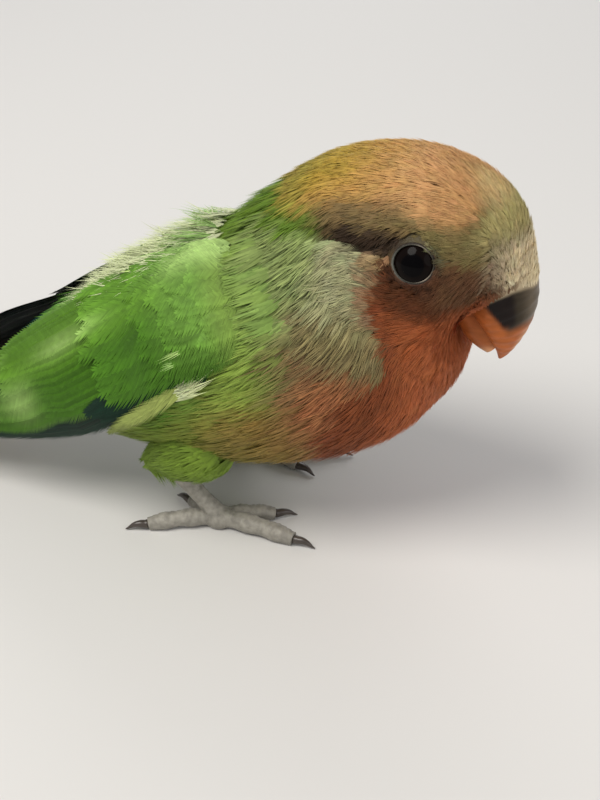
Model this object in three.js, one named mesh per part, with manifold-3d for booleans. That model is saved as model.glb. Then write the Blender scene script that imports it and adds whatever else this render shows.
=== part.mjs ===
// A juvenile peach-faced lovebird at life size, standing on a flat floor with its wings folded and
// its head held low and turned a little to its right. Millimetres, +Z up, the bill points to +X.
import * as THREE from "three";
import { mergeVertices } from "three/addons/utils/BufferGeometryUtils.js";
import Module from "manifold-3d";

const wasm = await Module();
wasm.setup();

// Driving dimensions
const GAP = 0.3; // between neighbouring pieces
const FINEST = 0.12; // details smaller than this are left out of the meshes
const EYE = { x: 33, z: 57.5 }; // the point midway between the eyes, before the head turns
const HEAD_PITCH = 16; // degrees, bill downwards
const HEAD_TURN = 13; // degrees, to the bird's right
const TURN_PIVOT_X = 10;
const EYEBALL = 4.1; // radius
const EYE_STANDS_OUT = 0.9; // the cornea beyond the surface of the head
const LID = { ring: 3.35, tube: 0.6 }; // radii
const CERE = { x: 14.6, z: 0.4, half: [1.7, 4.4, 1.5] }; // the soft ridge over the bill, from the eyes
const NOSTRIL = { x: 15.8, y: 1.9, z: 1.3, radius: 0.55 };
const VANE_THICK = 0.55;
const FOOT = { x: -4, y: 12 };
const RIGHT = -1;
const LEFT = 1;

// Colours
const GREEN = 0x6f9a35;
const WING_GREEN = 0x4f8a26;
const FACE = 0xb98a5c;
const HORN = 0xa9764a;
const DARK = 0x14100d;
const SCALY_GREY = 0x8f938a;
const CLAW_GREY = 0x4c4a46;

const radians = THREE.MathUtils.degToRad;
const { lerp, smoothstep, clamp } = THREE.MathUtils;
const point = (x, y, z) => new THREE.Vector3(x, y, z);

// Side view of the head, from the middle of the eyes, level. It is pitched about that point.
function pitched([x, z]) {
  const a = radians(HEAD_PITCH);
  return [EYE.x + x * Math.cos(a) + z * Math.sin(a), EYE.z - x * Math.sin(a) + z * Math.cos(a)];
}

// Sections of the body from tail to face. back and belly are the edges of the side view, half is half
// the width, and level is the share of the height at which the section is widest.
const TORSO = [
  { back: [-46, 24.2], belly: [-43, 16], half: 6.6, level: 0.5 },
  { back: [-39, 31.8], belly: [-33, 16.4], half: 10.5, level: 0.5 },
  { back: [-31.5, 37], belly: [-22.5, 12.4], half: 15, level: 0.5 },
  { back: [-24, 42], belly: [-12, 11], half: 18.6, level: 0.5 },
  { back: [-15.4, 47.4], belly: [-1, 11.2], half: 20.6, level: 0.48 },
  { back: [-7, 52.6], belly: [10, 12.8], half: 21.2, level: 0.47 },
  { back: [-0.4, 57.4], belly: [20, 15.8], half: 20.5, level: 0.47 },
  { back: [4.6, 61.2], belly: [27.5, 20.4], half: 19, level: 0.47 },
  { back: [8.8, 64.2], belly: [32, 25.8], half: 17.4, level: 0.48 },
];
const HEAD = [
  { back: [-21.6, 3.6], belly: [9.2, -26.6], half: 16.2, level: 0.5 },
  { back: [-17.2, 7.0], belly: [9.9, -23.6], half: 15.2, level: 0.5 },
  { back: [-11.8, 9.8], belly: [9.9, -20.8], half: 14.3, level: 0.5 },
  { back: [-5.8, 11.5], belly: [9.6, -18.4], half: 13.5, level: 0.5 },
  { back: [0.4, 11.7], belly: [8.8, -16.6], half: 12.6, level: 0.51 },
  { back: [6.0, 10.1], belly: [7.9, -15.1], half: 11, level: 0.53 },
  { back: [10.7, 6.8], belly: [7.2, -13.6], half: 8.6, level: 0.54 },
  { back: [14.9, 0.2], belly: [6.8, -12.0], half: 5.6, level: 0.52 },
].map((s) => ({ ...s, back: pitched(s.back), belly: pitched(s.belly) }));
const BODY = [...TORSO, ...HEAD];
const NECK_ROOT = 7; // station numbers
const HEAD_ROOT = TORSO.length;
const FACE_END = BODY.length - 1;

// The sheet of the folded wings: the body's own sections in front, and behind them looser ones.
const SLEEVE = [
  { back: [-66, 15.5], belly: [-61, 2], half: 9.6, level: 0.5 },
  { back: [-53, 24], belly: [-47, 5], half: 12, level: 0.5 },
  { back: [-41, 31.8], belly: [-33, 8], half: 14.5, level: 0.5 },
  { back: [-32.5, 37.4], belly: [-23, 11], half: 17, level: 0.5 },
  { back: [-24.5, 42.2], belly: [-12.5, 11], half: 19.2, level: 0.5 },
  ...BODY.slice(4),
];
const SLEEVE_SHIFT = 1; // the sleeve has one more section than the body

// Catmull-Rom value of one size at a station number that needn't be whole, straight beyond the tail end.
function between(read, u, stations = BODY) {
  const i = clamp(Math.floor(u), 0, stations.length - 2);
  const t = u - i;
  const at = (k) => read(stations[clamp(k, 0, stations.length - 1)]);
  const [a, b, c, d] = [at(i - 1), at(i), at(i + 1), at(i + 2)];
  if (u < 0) return b + (c - b) * u;
  const square = 2 * a - 5 * b + 4 * c - d;
  const cube = 3 * b - a - 3 * c + d;
  return 0.5 * (2 * b + (c - a) * t + square * t * t + cube * t ** 3);
}

// Turns a point of the neck and head about an upright axis, by the share of the turn at its station.
function turned(p, u) {
  const share = smoothstep(u, NECK_ROOT - 0.5, HEAD_ROOT + 1.5);
  const a = radians(-HEAD_TURN * share);
  const x = p.x - TURN_PIVOT_X;
  const across = x * Math.sin(a) + p.y * Math.cos(a);
  return point(TURN_PIVOT_X + x * Math.cos(a) - p.y * Math.sin(a), across, p.z);
}

// A place in the side view: share is 0 at the belly and 1 at the back.
function sidePoint(u, share, stations = BODY) {
  const edge = (name, axis) => between((s) => s[name][axis], u, stations);
  return [0, 1].map((axis) => lerp(edge("belly", axis), edge("back", axis), share));
}

// A point of the surface. angle is 0 at the left side, 90 degrees on the back and 180 at the right.
function bodyPoint(u, angle, stations = BODY) {
  const level = between((s) => s.level, u, stations);
  const share = (0.5 + 0.5 * Math.sin(angle)) ** (Math.log(level) / Math.log(0.5));
  const [x, z] = sidePoint(u, share, stations);
  const headward = u - (stations === BODY ? 0 : SLEEVE_SHIFT);
  return turned(point(x, between((s) => s.half, u, stations) * Math.cos(angle), z), headward);
}

function bodyNormal(u, angle, stations = BODY) {
  const step = 0.02;
  const along = bodyPoint(u + step, angle, stations).sub(bodyPoint(u - step, angle, stations));
  const round = bodyPoint(u, angle + step, stations).sub(bodyPoint(u, angle - step, stations));
  return round.cross(along).normalize();
}

const lifted = (u, angle, lift, stations = BODY) =>
  bodyPoint(u, angle, stations).addScaledVector(bodyNormal(u, angle, stations), lift);

// Solids
function geometryOf(vertices, triangles) {
  const geometry = new THREE.BufferGeometry();
  const numbers = vertices.flatMap((v) => [v.x, v.y, v.z]);
  geometry.setAttribute("position", new THREE.Float32BufferAttribute(numbers, 3));
  geometry.setIndex(triangles.flat());
  return geometry;
}

function solidOf(geometry) {
  const bare = geometry.clone();
  bare.deleteAttribute("normal");
  bare.deleteAttribute("uv");
  const merged = mergeVertices(bare, 1e-4);
  const corners = merged.index.array;
  const triVerts = [];
  for (let i = 0; i < corners.length; i += 3) {
    const [a, b, c] = corners.slice(i, i + 3);
    if (a !== b && b !== c && a !== c) triVerts.push(a, b, c);
  }
  const mesh = new wasm.Mesh({
    numProp: 3,
    vertProperties: merged.attributes.position.array,
    triVerts: new Uint32Array(triVerts),
  });
  const solid = new wasm.Manifold(mesh);
  if (solid.volume() >= 0) return solid;
  mesh.triVerts = mesh.triVerts.map((_, i, all) => all[i - (i % 3) + [0, 2, 1][i % 3]]);
  return new wasm.Manifold(mesh);
}

// Rings of points, one after another, closed at both ends by a fan about the ring's middle.
function loft(rings) {
  const sides = rings[0].length;
  const vertices = rings.flat();
  const triangles = [];
  for (let k = 0; k + 1 < rings.length; k++)
    for (let i = 0; i < sides; i++) {
      const j = (i + 1) % sides;
      const [a, b, c, d] = [k * sides + i, k * sides + j, (k + 1) * sides + j, (k + 1) * sides + i];
      triangles.push([a, b, c], [a, c, d]);
    }
  for (const [ring, flip] of [[0, true], [rings.length - 1, false]]) {
    const middle = rings[ring].reduce((sum, p) => sum.add(p), point(0, 0, 0)).divideScalar(sides);
    vertices.push(middle);
    for (let i = 0; i < sides; i++) {
      const [a, b] = [ring * sides + i, ring * sides + ((i + 1) % sides)];
      triangles.push(flip ? [b, a, vertices.length - 1] : [a, b, vertices.length - 1]);
    }
  }
  return solidOf(geometryOf(vertices, triangles));
}

// A closed slab between two grids of the same size, split into triangles alike on both faces.
function slab(upper, lower) {
  const [rows, columns] = [upper.length, upper[0].length];
  const vertices = [...upper.flat(), ...lower.flat()];
  const top = (r, c) => r * columns + c;
  const low = (r, c) => rows * columns + top(r, c);
  const triangles = [];
  const wall = (a, b, c, d) => triangles.push([a, b, d], [a, d, c]);
  for (let r = 0; r + 1 < rows; r++)
    for (let c = 0; c + 1 < columns; c++) {
      const corners = [[r, c], [r + 1, c], [r + 1, c + 1], [r, c + 1]];
      const [a, b, d, e] = corners.map(([i, j]) => top(i, j));
      const [f, g, h, k] = corners.map(([i, j]) => low(i, j));
      triangles.push([a, b, d], [a, d, e], [f, h, g], [f, k, h]);
    }
  for (let r = 0; r + 1 < rows; r++) {
    wall(top(r + 1, 0), top(r, 0), low(r + 1, 0), low(r, 0));
    wall(top(r, columns - 1), top(r + 1, columns - 1), low(r, columns - 1), low(r + 1, columns - 1));
  }
  for (let c = 0; c + 1 < columns; c++) {
    wall(top(0, c), top(0, c + 1), low(0, c), low(0, c + 1));
    wall(top(rows - 1, c + 1), top(rows - 1, c), low(rows - 1, c + 1), low(rows - 1, c));
  }
  return solidOf(geometryOf(vertices, triangles));
}

// A tube along a path of points, round or flattened, with a radius at each point.
function tube(path, radii, sides, flat = 1) {
  const rings = path.map((p, k) => {
    const before = path[Math.max(k - 1, 0)];
    const after = path[Math.min(k + 1, path.length - 1)];
    const along = after.clone().sub(before).normalize();
    const side = point(0, 0, 1).cross(along).normalize();
    const up = along.clone().cross(side);
    return Array.from({ length: sides }, (_, i) => {
      const a = (2 * Math.PI * i) / sides;
      const out = side.clone().multiplyScalar(Math.cos(a) * radii[k]);
      return p.clone().add(out).addScaledVector(up, Math.sin(a) * radii[k] * flat);
    });
  });
  return loft(rings);
}

const union = (solids) => wasm.Manifold.union(solids);

function largest(solid) {
  return solid.decompose().reduce((best, s) => (s.volume() > best.volume() ? s : best));
}

function ball(radius, centre, columns = 14, rows = 10, stretch = [1, 1, 1]) {
  const geometry = new THREE.SphereGeometry(radius, columns, rows).scale(...stretch);
  return solidOf(geometry.translate(centre.x, centre.y, centre.z));
}

// The body whole, then parted by thin cuts
const BODY_SIDES = 26;
const BODY_STEP = 0.5; // stations between rings

function bodyLoft(lift, from, to) {
  const count = Math.round((to - from) / BODY_STEP);
  const angles = Array.from({ length: BODY_SIDES }, (_, i) => (2 * Math.PI * (i + 0.5)) / BODY_SIDES);
  const rings = Array.from({ length: count + 1 }, (_, k) => {
    const u = lerp(from, to, k / count);
    return angles.map((angle) => lifted(u, angle, lift));
  });
  return loft(rings);
}

// The cutting plane at a station, with its normal towards the head.
function sectionPlane(u) {
  const back = bodyPoint(u, Math.PI / 2);
  const belly = bodyPoint(u, -Math.PI / 2);
  const left = bodyPoint(u, 0).sub(bodyPoint(u, Math.PI));
  const normal = left.cross(back.clone().sub(belly)).normalize();
  return { normal, offset: normal.dot(back.add(belly).multiplyScalar(0.5)) };
}

const headSide = (solid, { normal, offset }, gap = 0) =>
  solid.trimByPlane(normal.toArray(), offset + gap);
const tailSide = (solid, { normal, offset }, gap = 0) =>
  solid.trimByPlane(normal.clone().negate().toArray(), gap - offset);

const bodyWhole = bodyLoft(0, 0, FACE_END);
const bodySpace = bodyLoft(GAP, -0.5, FACE_END);
const neckCut = sectionPlane(NECK_ROOT);
const headCut = sectionPlane(HEAD_ROOT - 0.5);
const faceCut = sectionPlane(FACE_END);

const torso = tailSide(bodyWhole, neckCut);
const neck = tailSide(headSide(bodyWhole, neckCut, GAP), headCut);

// The place on the head's surface at a side view position measured from the eyes.
function headSurface(position, side) {
  const target = pitched(position);
  let best = { miss: Infinity };
  for (let u = HEAD_ROOT; u <= FACE_END; u += 0.05)
    for (let share = 0.2; share <= 0.9; share += 0.01) {
      const [x, z] = sidePoint(u, share);
      const miss = Math.hypot(x - target[0], z - target[1]);
      if (miss < best.miss) best = { miss, u, share };
    }
  const level = between((s) => s.level, best.u);
  const climb = Math.asin(2 * best.share ** (Math.log(0.5) / Math.log(level)) - 1);
  const angle = side === LEFT ? climb : Math.PI - climb;
  return { at: bodyPoint(best.u, angle), out: bodyNormal(best.u, angle) };
}

const eyes = [LEFT, RIGHT].map((side) => {
  const { at, out } = headSurface([0, 0], side);
  return { side, out, centre: at.clone().addScaledVector(out, EYE_STANDS_OUT - EYEBALL), at };
});

function eyelid({ at, out }) {
  const ring = new THREE.TorusGeometry(LID.ring, LID.tube, 5, 16);
  ring.applyQuaternion(new THREE.Quaternion().setFromUnitVectors(point(0, 0, 1), out));
  return solidOf(ring.translate(at.x, at.y, at.z));
}

// A point in the head's own upright plane, pitched and turned with it.
const faceFrame = (x, y, z) => {
  const [px, pz] = pitched([x, z]);
  return turned(point(px, y, pz), FACE_END);
};

function cereSolid(grow = 0) {
  const half = CERE.half.map((size) => size + grow);
  return ball(1, point(0, 0, 0), 12, 8, half).translate(faceFrame(CERE.x, 0, CERE.z).toArray());
}

const nostril = (side) => ball(NOSTRIL.radius, faceFrame(NOSTRIL.x, side * NOSTRIL.y, NOSTRIL.z), 8, 6);

// Bill. Each ring runs from an outer to an inner edge of the side view, with half its width.
const BEAK_UPPER = [
  { outer: [14.2, 1.6], inner: [7.6, -9.4], half: 5.3, level: 0.5 },
  { outer: [15.9, -1.4], inner: [9.2, -10.2], half: 5.2, level: 0.47 },
  { outer: [16.8, -4.0], inner: [10.6, -11.0], half: 4.8, level: 0.45 },
  { outer: [17.2, -7.4], inner: [11.8, -11.8], half: 4.1, level: 0.44 },
  { outer: [17.0, -10.4], inner: [12.8, -12.7], half: 3.2, level: 0.44 },
  { outer: [16.5, -12.8], inner: [13.7, -13.7], half: 2.1, level: 0.45 },
  { outer: [15.9, -14.6], inner: [14.3, -14.8], half: 1.0, level: 0.5 },
  { outer: [15.3, -15.7], inner: [14.8, -15.7], half: 0.3, level: 0.5 },
];
const BEAK_LOWER = [
  { outer: [9.4, -7.4], inner: [6.6, -12.2], half: 4.3, level: 0.55 },
  { outer: [11.8, -8.4], inner: [8.6, -14.2], half: 4.1, level: 0.55 },
  { outer: [13.5, -10.4], inner: [10.9, -15.4], half: 3.3, level: 0.6 },
  { outer: [14.4, -12.8], inner: [12.7, -15.6], half: 2.2, level: 0.6 },
];
const BILL_SIDES = 14;
const MOUTH_GAP = 0.35; // under the upper mandible

function billPart(sections) {
  const rings = sections.map(({ outer, inner, half, level }) =>
    Array.from({ length: BILL_SIDES }, (_, i) => {
      const a = (2 * Math.PI * i) / BILL_SIDES;
      const share = (0.5 + 0.5 * Math.sin(a)) ** (Math.log(level) / Math.log(0.5));
      const [x, z] = [0, 1].map((axis) => lerp(inner[axis], outer[axis], share));
      return faceFrame(x, half * Math.cos(a), z);
    }),
  );
  return loft(rings);
}

const grown = ({ outer, inner, half, level }) => ({
  outer: [outer[0] + GAP, outer[1] + GAP],
  inner: [inner[0] - GAP, inner[1] - MOUTH_GAP],
  half: half + GAP,
  level,
});

const upperSpace = billPart(BEAK_UPPER.map(grown));
const lowerSpace = billPart(BEAK_LOWER.map(grown));
const beakUpper = largest(headSide(billPart(BEAK_UPPER), faceCut, GAP).subtract(cereSolid(GAP)));
const beakLower = largest(headSide(billPart(BEAK_LOWER), faceCut, GAP).subtract(upperSpace));

// The head: the skull with its cere and lids, less the eye sockets, nostrils and the lower mandible.
const CERE_REACH = 1.3; // in front of the skull's end

function makeHead() {
  const skull = headSide(bodyWhole, headCut, GAP);
  const cere = tailSide(cereSolid(), faceCut, CERE_REACH);
  const soft = union([skull, cere, ...eyes.map(eyelid)]);
  const sockets = eyes.map(({ centre }) => ball(EYEBALL + GAP, centre));
  const nostrils = [LEFT, RIGHT].map(nostril);
  return largest(soft.subtract(union([...sockets, ...nostrils, lowerSpace])));
}

const head = makeHead();

// Feathers. place maps a share of the length, millimetres across and millimetres of lift to a point.
const LONG = [[0, 0.62], [0.28, 0.88], [0.6, 1], [0.87, 0.86], [1, 0.16]]; // [share of length, of width]
const SHORT = [[0, 0.7], [0.45, 1], [0.84, 0.86], [1, 0.16]];
const TIP_THIN = 0.55; // the tip's thickness as a share of the vane's

function vane(place, width, { outline = LONG, tilt = 0, camber = 0.25 } = {}) {
  const face = (side) =>
    outline.map(([s, wide], k) =>
      [-1, 0, 1].map((c) => {
        const thin = k === outline.length - 1 ? TIP_THIN : 1;
        const lift = tilt * c + camber * (1 - c * c) + (side * VANE_THICK * thin) / 2;
        return place(s, (c * wide * width) / 2, lift);
      }),
    );
  return slab(face(1), face(-1));
}

// Angles of the wing's lower and upper feathers above the sheet's widest line, at each of its stations
// from the tip. The left wing is held higher than the right one.
const WING_LOW = [10, -12, -24, -26, -8, 8, 17, 22];
const WING_HIGH = [30, 48, 56, 60, 64, 66, 64, 58];
const WING_RAISED = { [RIGHT]: 0, [LEFT]: 11 };
const WING_CLEAR = 0.75;

function atStation(table, u) {
  const i = clamp(Math.floor(u), 0, table.length - 2);
  return lerp(table[i], table[i + 1], clamp(u - i, 0, 1));
}

// A place on the wing's sheet. height is 0 along its lower feathers and 1 along the upper ones.
function wingPlace(side, u, height, across, lift) {
  const climb = lerp(atStation(WING_LOW, u), atStation(WING_HIGH, u), height);
  const raised = WING_RAISED[side] * (1 - smoothstep(u, 1, 6)) * (1 - 0.5 * height);
  const angle = radians(climb + raised) + across / between((s) => s.half, u, SLEEVE);
  return lifted(u, side === LEFT ? angle : Math.PI - angle, WING_CLEAR + lift, SLEEVE);
}

// Tiers of feathers, each from the wing's lower edge up. root and tip are [station, height] of the
// first feather and of the last.
const primaries = { count: 8, root: [[4.8, 0.02], [5.2, 0.4]], tip: [[0, 0.1], [1, 0.8]] };
const secondaries = { count: 8, root: [[5.6, 0.06], [5.2, 1]], tip: [[2, 0.14], [1.5, 1]] };
const primaryCoverts = { count: 3, root: [[6, 0], [6.1, 0.14]], tip: [[4.2, 0.02], [3.8, 0.18]] };
const greaterCoverts = { count: 7, root: [[6, 0.04], [6, 1]], tip: [[4.4, 0.12], [3.6, 1]] };
const lesserCoverts = { count: 6, root: [[6.4, 0.08], [6.4, 0.95]], tip: [[5.3, 0.1], [4.9, 1]] };
const TIERS = [
  { ...primaries, width: 7.4, lift: 0.1, outline: LONG },
  { ...secondaries, width: 9, lift: 0.95, outline: LONG },
  { ...primaryCoverts, width: 5.4, lift: 1, outline: LONG },
  { ...greaterCoverts, width: 8.2, lift: 1.8, outline: SHORT },
  { ...lesserCoverts, width: 7.8, lift: 2.5, outline: SHORT },
];
const TIP_WAVE = 0.09; // stations by which neighbouring tips differ

function tier(side, { count, root, tip, width, lift, outline }) {
  return Array.from({ length: count }, (_, i) => {
    const k = i / (count - 1);
    const from = [0, 1].map((axis) => lerp(root[0][axis], root[1][axis], k));
    const to = [0, 1].map((axis) => lerp(tip[0][axis], tip[1][axis], k));
    to[0] += TIP_WAVE * Math.sin(2.4 * i);
    const place = (s, across, rise) => {
      const [u, height] = [0, 1].map((axis) => lerp(from[axis], to[axis], s));
      return wingPlace(side, u, height, across, lift + rise + 0.25 * k);
    };
    return vane(place, width, { outline, tilt: -0.45 });
  });
}

// The arm under the coverts: a lens over the shoulder, thin at its rim and round in front.
const ARM = { from: 4.6, to: 6.7, low: -0.08, high: 1.04, rise: 2.6, rim: 0.35, rounded: 0.18 };
const ARM_ROWS = 8;
const ARM_COLUMNS = 7;

function armPoint(side, s, t, top) {
  const hump = Math.sin(Math.PI * lerp(0.04, 0.93, s)) * Math.sin(Math.PI * lerp(0.05, 0.95, t));
  const rounded = ARM.rounded * smoothstep(s, 0.6, 1);
  const height = lerp(ARM.low + rounded, ARM.high - rounded, t);
  const lift = top ? ARM.rim + ARM.rise * Math.sqrt(hump) : -ARM.rim;
  return wingPlace(side, lerp(ARM.from, ARM.to, s), height, 0, lift);
}

function arm(side) {
  const face = (top) =>
    Array.from({ length: ARM_ROWS + 1 }, (_, r) =>
      Array.from({ length: ARM_COLUMNS + 1 }, (_, c) => armPoint(side, r / ARM_ROWS, c / ARM_COLUMNS, top)),
    );
  return slab(face(true), face(false));
}

function wing(side) {
  const feathers = TIERS.flatMap((t) => tier(side, t));
  return largest(union([arm(side), ...feathers]).subtract(bodySpace));
}

// Tail. Six pairs of vanes from the rump, the middle pair on top, over a short root.
const TAIL = { root: [-38, 28], tip: [-76.5, 5.2], sag: 1.6, pairs: 6, width: 7.2, step: 0.45 };
const TAIL_FAN = { root: 0.5, tip: 1.35 }; // millimetres sideways from one vane to the next
const TAIL_SHORTER = 0.013125; // share of the length lost, times the square of the vane's number

// Rows of coverts over and under the tail's root: lift is given at their roots and tips.
const TAIL_COVERTS = [
  { count: 4, lift: [5.3, 1.0], from: 0.03, to: 0.52, arch: 0.3 },
  { count: 3, lift: [6.0, 2.3], from: 0, to: 0.37, arch: 0.4 },
  { count: 4, lift: [-8.6, -2.0], from: 0.1, to: 0.6, arch: -0.25 },
];

function tailPlace(s, y, lift) {
  const [x, z] = [0, 1].map((axis) => lerp(TAIL.root[axis], TAIL.tip[axis], s));
  return point(x, y, z - TAIL.sag * Math.sin(Math.PI * s) + lift);
}

function tail() {
  const vanes = [];
  for (const side of [LEFT, RIGHT])
    for (let i = 0; i < TAIL.pairs; i++) {
      const reach = 1 - TAIL_SHORTER * i * i;
      const tip = side * (1.1 + TAIL_FAN.tip * i);
      const root = side * (0.8 + TAIL_FAN.root * i);
      const drop = -TAIL.step * i - (side === LEFT ? 0.22 : 0);
      const place = (s, across, rise) => tailPlace(s * reach, lerp(root, tip, s) + across, drop + rise);
      vanes.push(vane(place, TAIL.width, { tilt: -side * 0.1 }));
    }
  const coverts = [];
  for (const { count, lift, from, to, arch } of TAIL_COVERTS)
    for (let i = 0; i < count; i++) {
      const k = i - (count - 1) / 2;
      const place = (s, across, rise) => {
        const along = lerp(from, to - 0.02 * k * k, s);
        const height = lerp(lift[0], lift[1], s) - arch * k * k;
        return tailPlace(along, lerp(k * 2.4, k * 2.1, s) + across, height + rise);
      };
      coverts.push(vane(place, 5.8, { outline: SHORT, camber: 0.4 }));
    }
  const path = [0.12, 0.22, 0.32, 0.4].map((s) => tailPlace(s, 0, -1.2));
  return union([tube(path, [6.4, 6, 4.6, 2.6], 12, 0.5), ...vanes, ...coverts]);
}

// Feet. Two toes point forwards and two backwards, each on a flat sole.
const TOES = [
  { name: "front_outer", length: 14.5, angle: -9, thick: 1.75 },
  { name: "front_inner", length: 10, angle: 24, thick: 1.6 },
  { name: "back_outer", length: 12.5, angle: 202, thick: 1.65 },
  { name: "back_inner", length: 7.5, angle: 150, thick: 1.45 },
];
const KNUCKLES = [[0, 1.05], [0.22, 0.92], [0.4, 1.08], [0.58, 0.88], [0.78, 1], [1, 0.72]];
const HEEL = point(-10, 0.6, 13); // from the middle of the foot
const SHANK = [point(0, 0, 1.6), point(-2.8, 0.1, 5), point(-6.4, 0.3, 9.2), HEEL];
const SHANK_RADII = [2.1, 1.55, 1.6, 2.3];
const SOLE_CUT = 0.35;

// Angles open to the bird's left for the left foot, so the inner toes are on the side of the body.
function toeEnd({ length, angle }, side, share) {
  const a = radians(-side * angle);
  const arch = 0.5 * Math.sin(Math.PI * share);
  const height = lerp(1.75, 1.25, share) + arch - SOLE_CUT;
  return point(length * share * Math.cos(a), length * share * Math.sin(a), height);
}

function shank(side, grow = 0) {
  const path = SHANK.map((s) => point(s.x, side * s.y, s.z));
  return tube(path, SHANK_RADII.map((radius) => radius + grow), 8);
}

function foot(side) {
  const toes = TOES.map((toe) => {
    const path = KNUCKLES.map(([share]) => toeEnd(toe, side, share));
    return tube(path, KNUCKLES.map(([, wide]) => wide * toe.thick), 7);
  });
  const palm = ball(2.6, point(0, 0, 1.4), 10, 8, [1.1, 1, 0.8]);
  const whole = union([palm, shank(side), ...toes]).translate(FOOT.x, side * FOOT.y, 0);
  return largest(whole.trimByPlane([0, 0, 1], 0).subtract(bodySpace));
}

// A claw, curved down from the toe's end to the floor.
const CLAW_REACH = 4.6;
const CLAW_RADII = [0.82, 0.7, 0.42, 0.14];
const CLAW_CLEAR = [1, 0.9, 0.6, 0.2]; // lowest its middle line may lie at each radius

function claw(toe, side) {
  const end = toeEnd(toe, side, 1);
  const a = radians(-side * toe.angle);
  const out = point(Math.cos(a), Math.sin(a), 0);
  const path = [0, 0.3, 0.65, 1].map((s) => {
    const drop = lerp(0.15, 1, s * s) - 0.5 * Math.sin(Math.PI * s);
    const reach = GAP + CLAW_REACH * s * (1 - 0.12 * s);
    return end.clone().addScaledVector(out, reach).add(point(0, 0, -drop));
  });
  path.forEach((p, k) => (p.z = Math.max(p.z, CLAW_CLEAR[k])));
  return tube(path, CLAW_RADII, 7).translate(FOOT.x, side * FOOT.y, 0);
}

// Thighs: the feathered upper legs, from the flank down to the heel.
function thigh(side) {
  const heel = point(FOOT.x + HEEL.x, side * (FOOT.y + HEEL.y), HEEL.z);
  const path = [
    point(0, side * 12, 20),
    point(-4.5, side * 12.8, 18),
    point(-9, side * 12.9, 15.8),
    heel.clone().add(point(1.6, 0, 0.6)),
    heel.clone().add(point(-1.4, 0, -0.3)),
  ];
  const whole = tube(path, [3.5, 6.2, 5.9, 3.8, 2.2], 14);
  const shankSpace = shank(side, GAP).translate(FOOT.x, side * FOOT.y, 0);
  return largest(whole.subtract(bodySpace).subtract(shankSpace));
}

// Assembly
const bird = new THREE.Group();

function addNode(name, solid, color, roughness = 0.8) {
  const { vertProperties, triVerts } = largest(solid.simplify(FINEST)).getMesh();
  const geometry = new THREE.BufferGeometry();
  geometry.setAttribute("position", new THREE.BufferAttribute(vertProperties, 3));
  geometry.setIndex(new THREE.BufferAttribute(triVerts, 1));
  geometry.computeVertexNormals();
  const material = new THREE.MeshStandardMaterial({ color, roughness, metalness: 0 });
  const mesh = new THREE.Mesh(geometry, material);
  mesh.name = name;
  bird.add(mesh);
  return mesh;
}

const sideName = (side) => (side === LEFT ? "left" : "right");

addNode("torso", torso, GREEN);
addNode("neck", neck, GREEN);
addNode("head", head, FACE);
addNode("beak_upper", beakUpper, HORN, 0.35);
addNode("beak_lower", beakLower, HORN, 0.35);
addNode("tail", largest(tail().subtract(bodySpace)), WING_GREEN);
for (const { side, centre } of eyes) {
  const name = sideName(side);
  addNode(`eye_${name}`, ball(EYEBALL, point(0, 0, 0)), DARK, 0.1).position.copy(centre);
  addNode(`wing_${name}`, wing(side), WING_GREEN);
  addNode(`thigh_${name}`, thigh(side), GREEN);
  addNode(`foot_${name}`, foot(side), SCALY_GREY, 0.6);
  for (const toe of TOES) addNode(`claw_${name}_${toe.name}`, claw(toe, side), CLAW_GREY, 0.4);
}

// The origin lies under the middle of the whole bird, on the floor.
const box = new THREE.Box3().setFromObject(bird, true);
bird.position.set(-(box.min.x + box.max.x) / 2, -(box.min.y + box.max.y) / 2, -box.min.z);

export default bird;
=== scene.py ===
import math

import bpy
import numpy as np
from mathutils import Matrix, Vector


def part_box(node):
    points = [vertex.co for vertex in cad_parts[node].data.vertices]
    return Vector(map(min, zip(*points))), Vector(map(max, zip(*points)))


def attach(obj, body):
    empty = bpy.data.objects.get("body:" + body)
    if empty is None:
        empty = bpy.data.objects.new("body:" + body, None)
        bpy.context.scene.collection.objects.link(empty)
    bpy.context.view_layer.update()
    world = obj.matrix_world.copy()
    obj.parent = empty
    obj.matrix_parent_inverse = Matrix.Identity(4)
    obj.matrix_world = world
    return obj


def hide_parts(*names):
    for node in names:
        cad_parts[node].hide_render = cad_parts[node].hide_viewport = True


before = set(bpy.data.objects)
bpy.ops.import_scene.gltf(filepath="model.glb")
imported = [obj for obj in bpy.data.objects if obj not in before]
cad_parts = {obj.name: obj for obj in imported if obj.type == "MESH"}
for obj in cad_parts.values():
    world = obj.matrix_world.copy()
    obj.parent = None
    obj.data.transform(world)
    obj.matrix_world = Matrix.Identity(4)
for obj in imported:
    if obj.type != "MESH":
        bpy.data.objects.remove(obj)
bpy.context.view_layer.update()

# Sizes are in millimetres until a mesh is made. The shape is the one that the solids have.
MM = 0.001
EYE = (33.0, 57.5)
HEAD_PITCH, HEAD_TURN, TURN_PIVOT_X = 16, 13, 10
NECK_ROOT, HEAD_ROOT, FACE_END = 7, 9, 16
EYEBALL, EYE_STANDS_OUT = 4.1, 0.9
RIGHT, LEFT = -1, 1
SIDE_NAME = {RIGHT: "right", LEFT: "left"}

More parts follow.
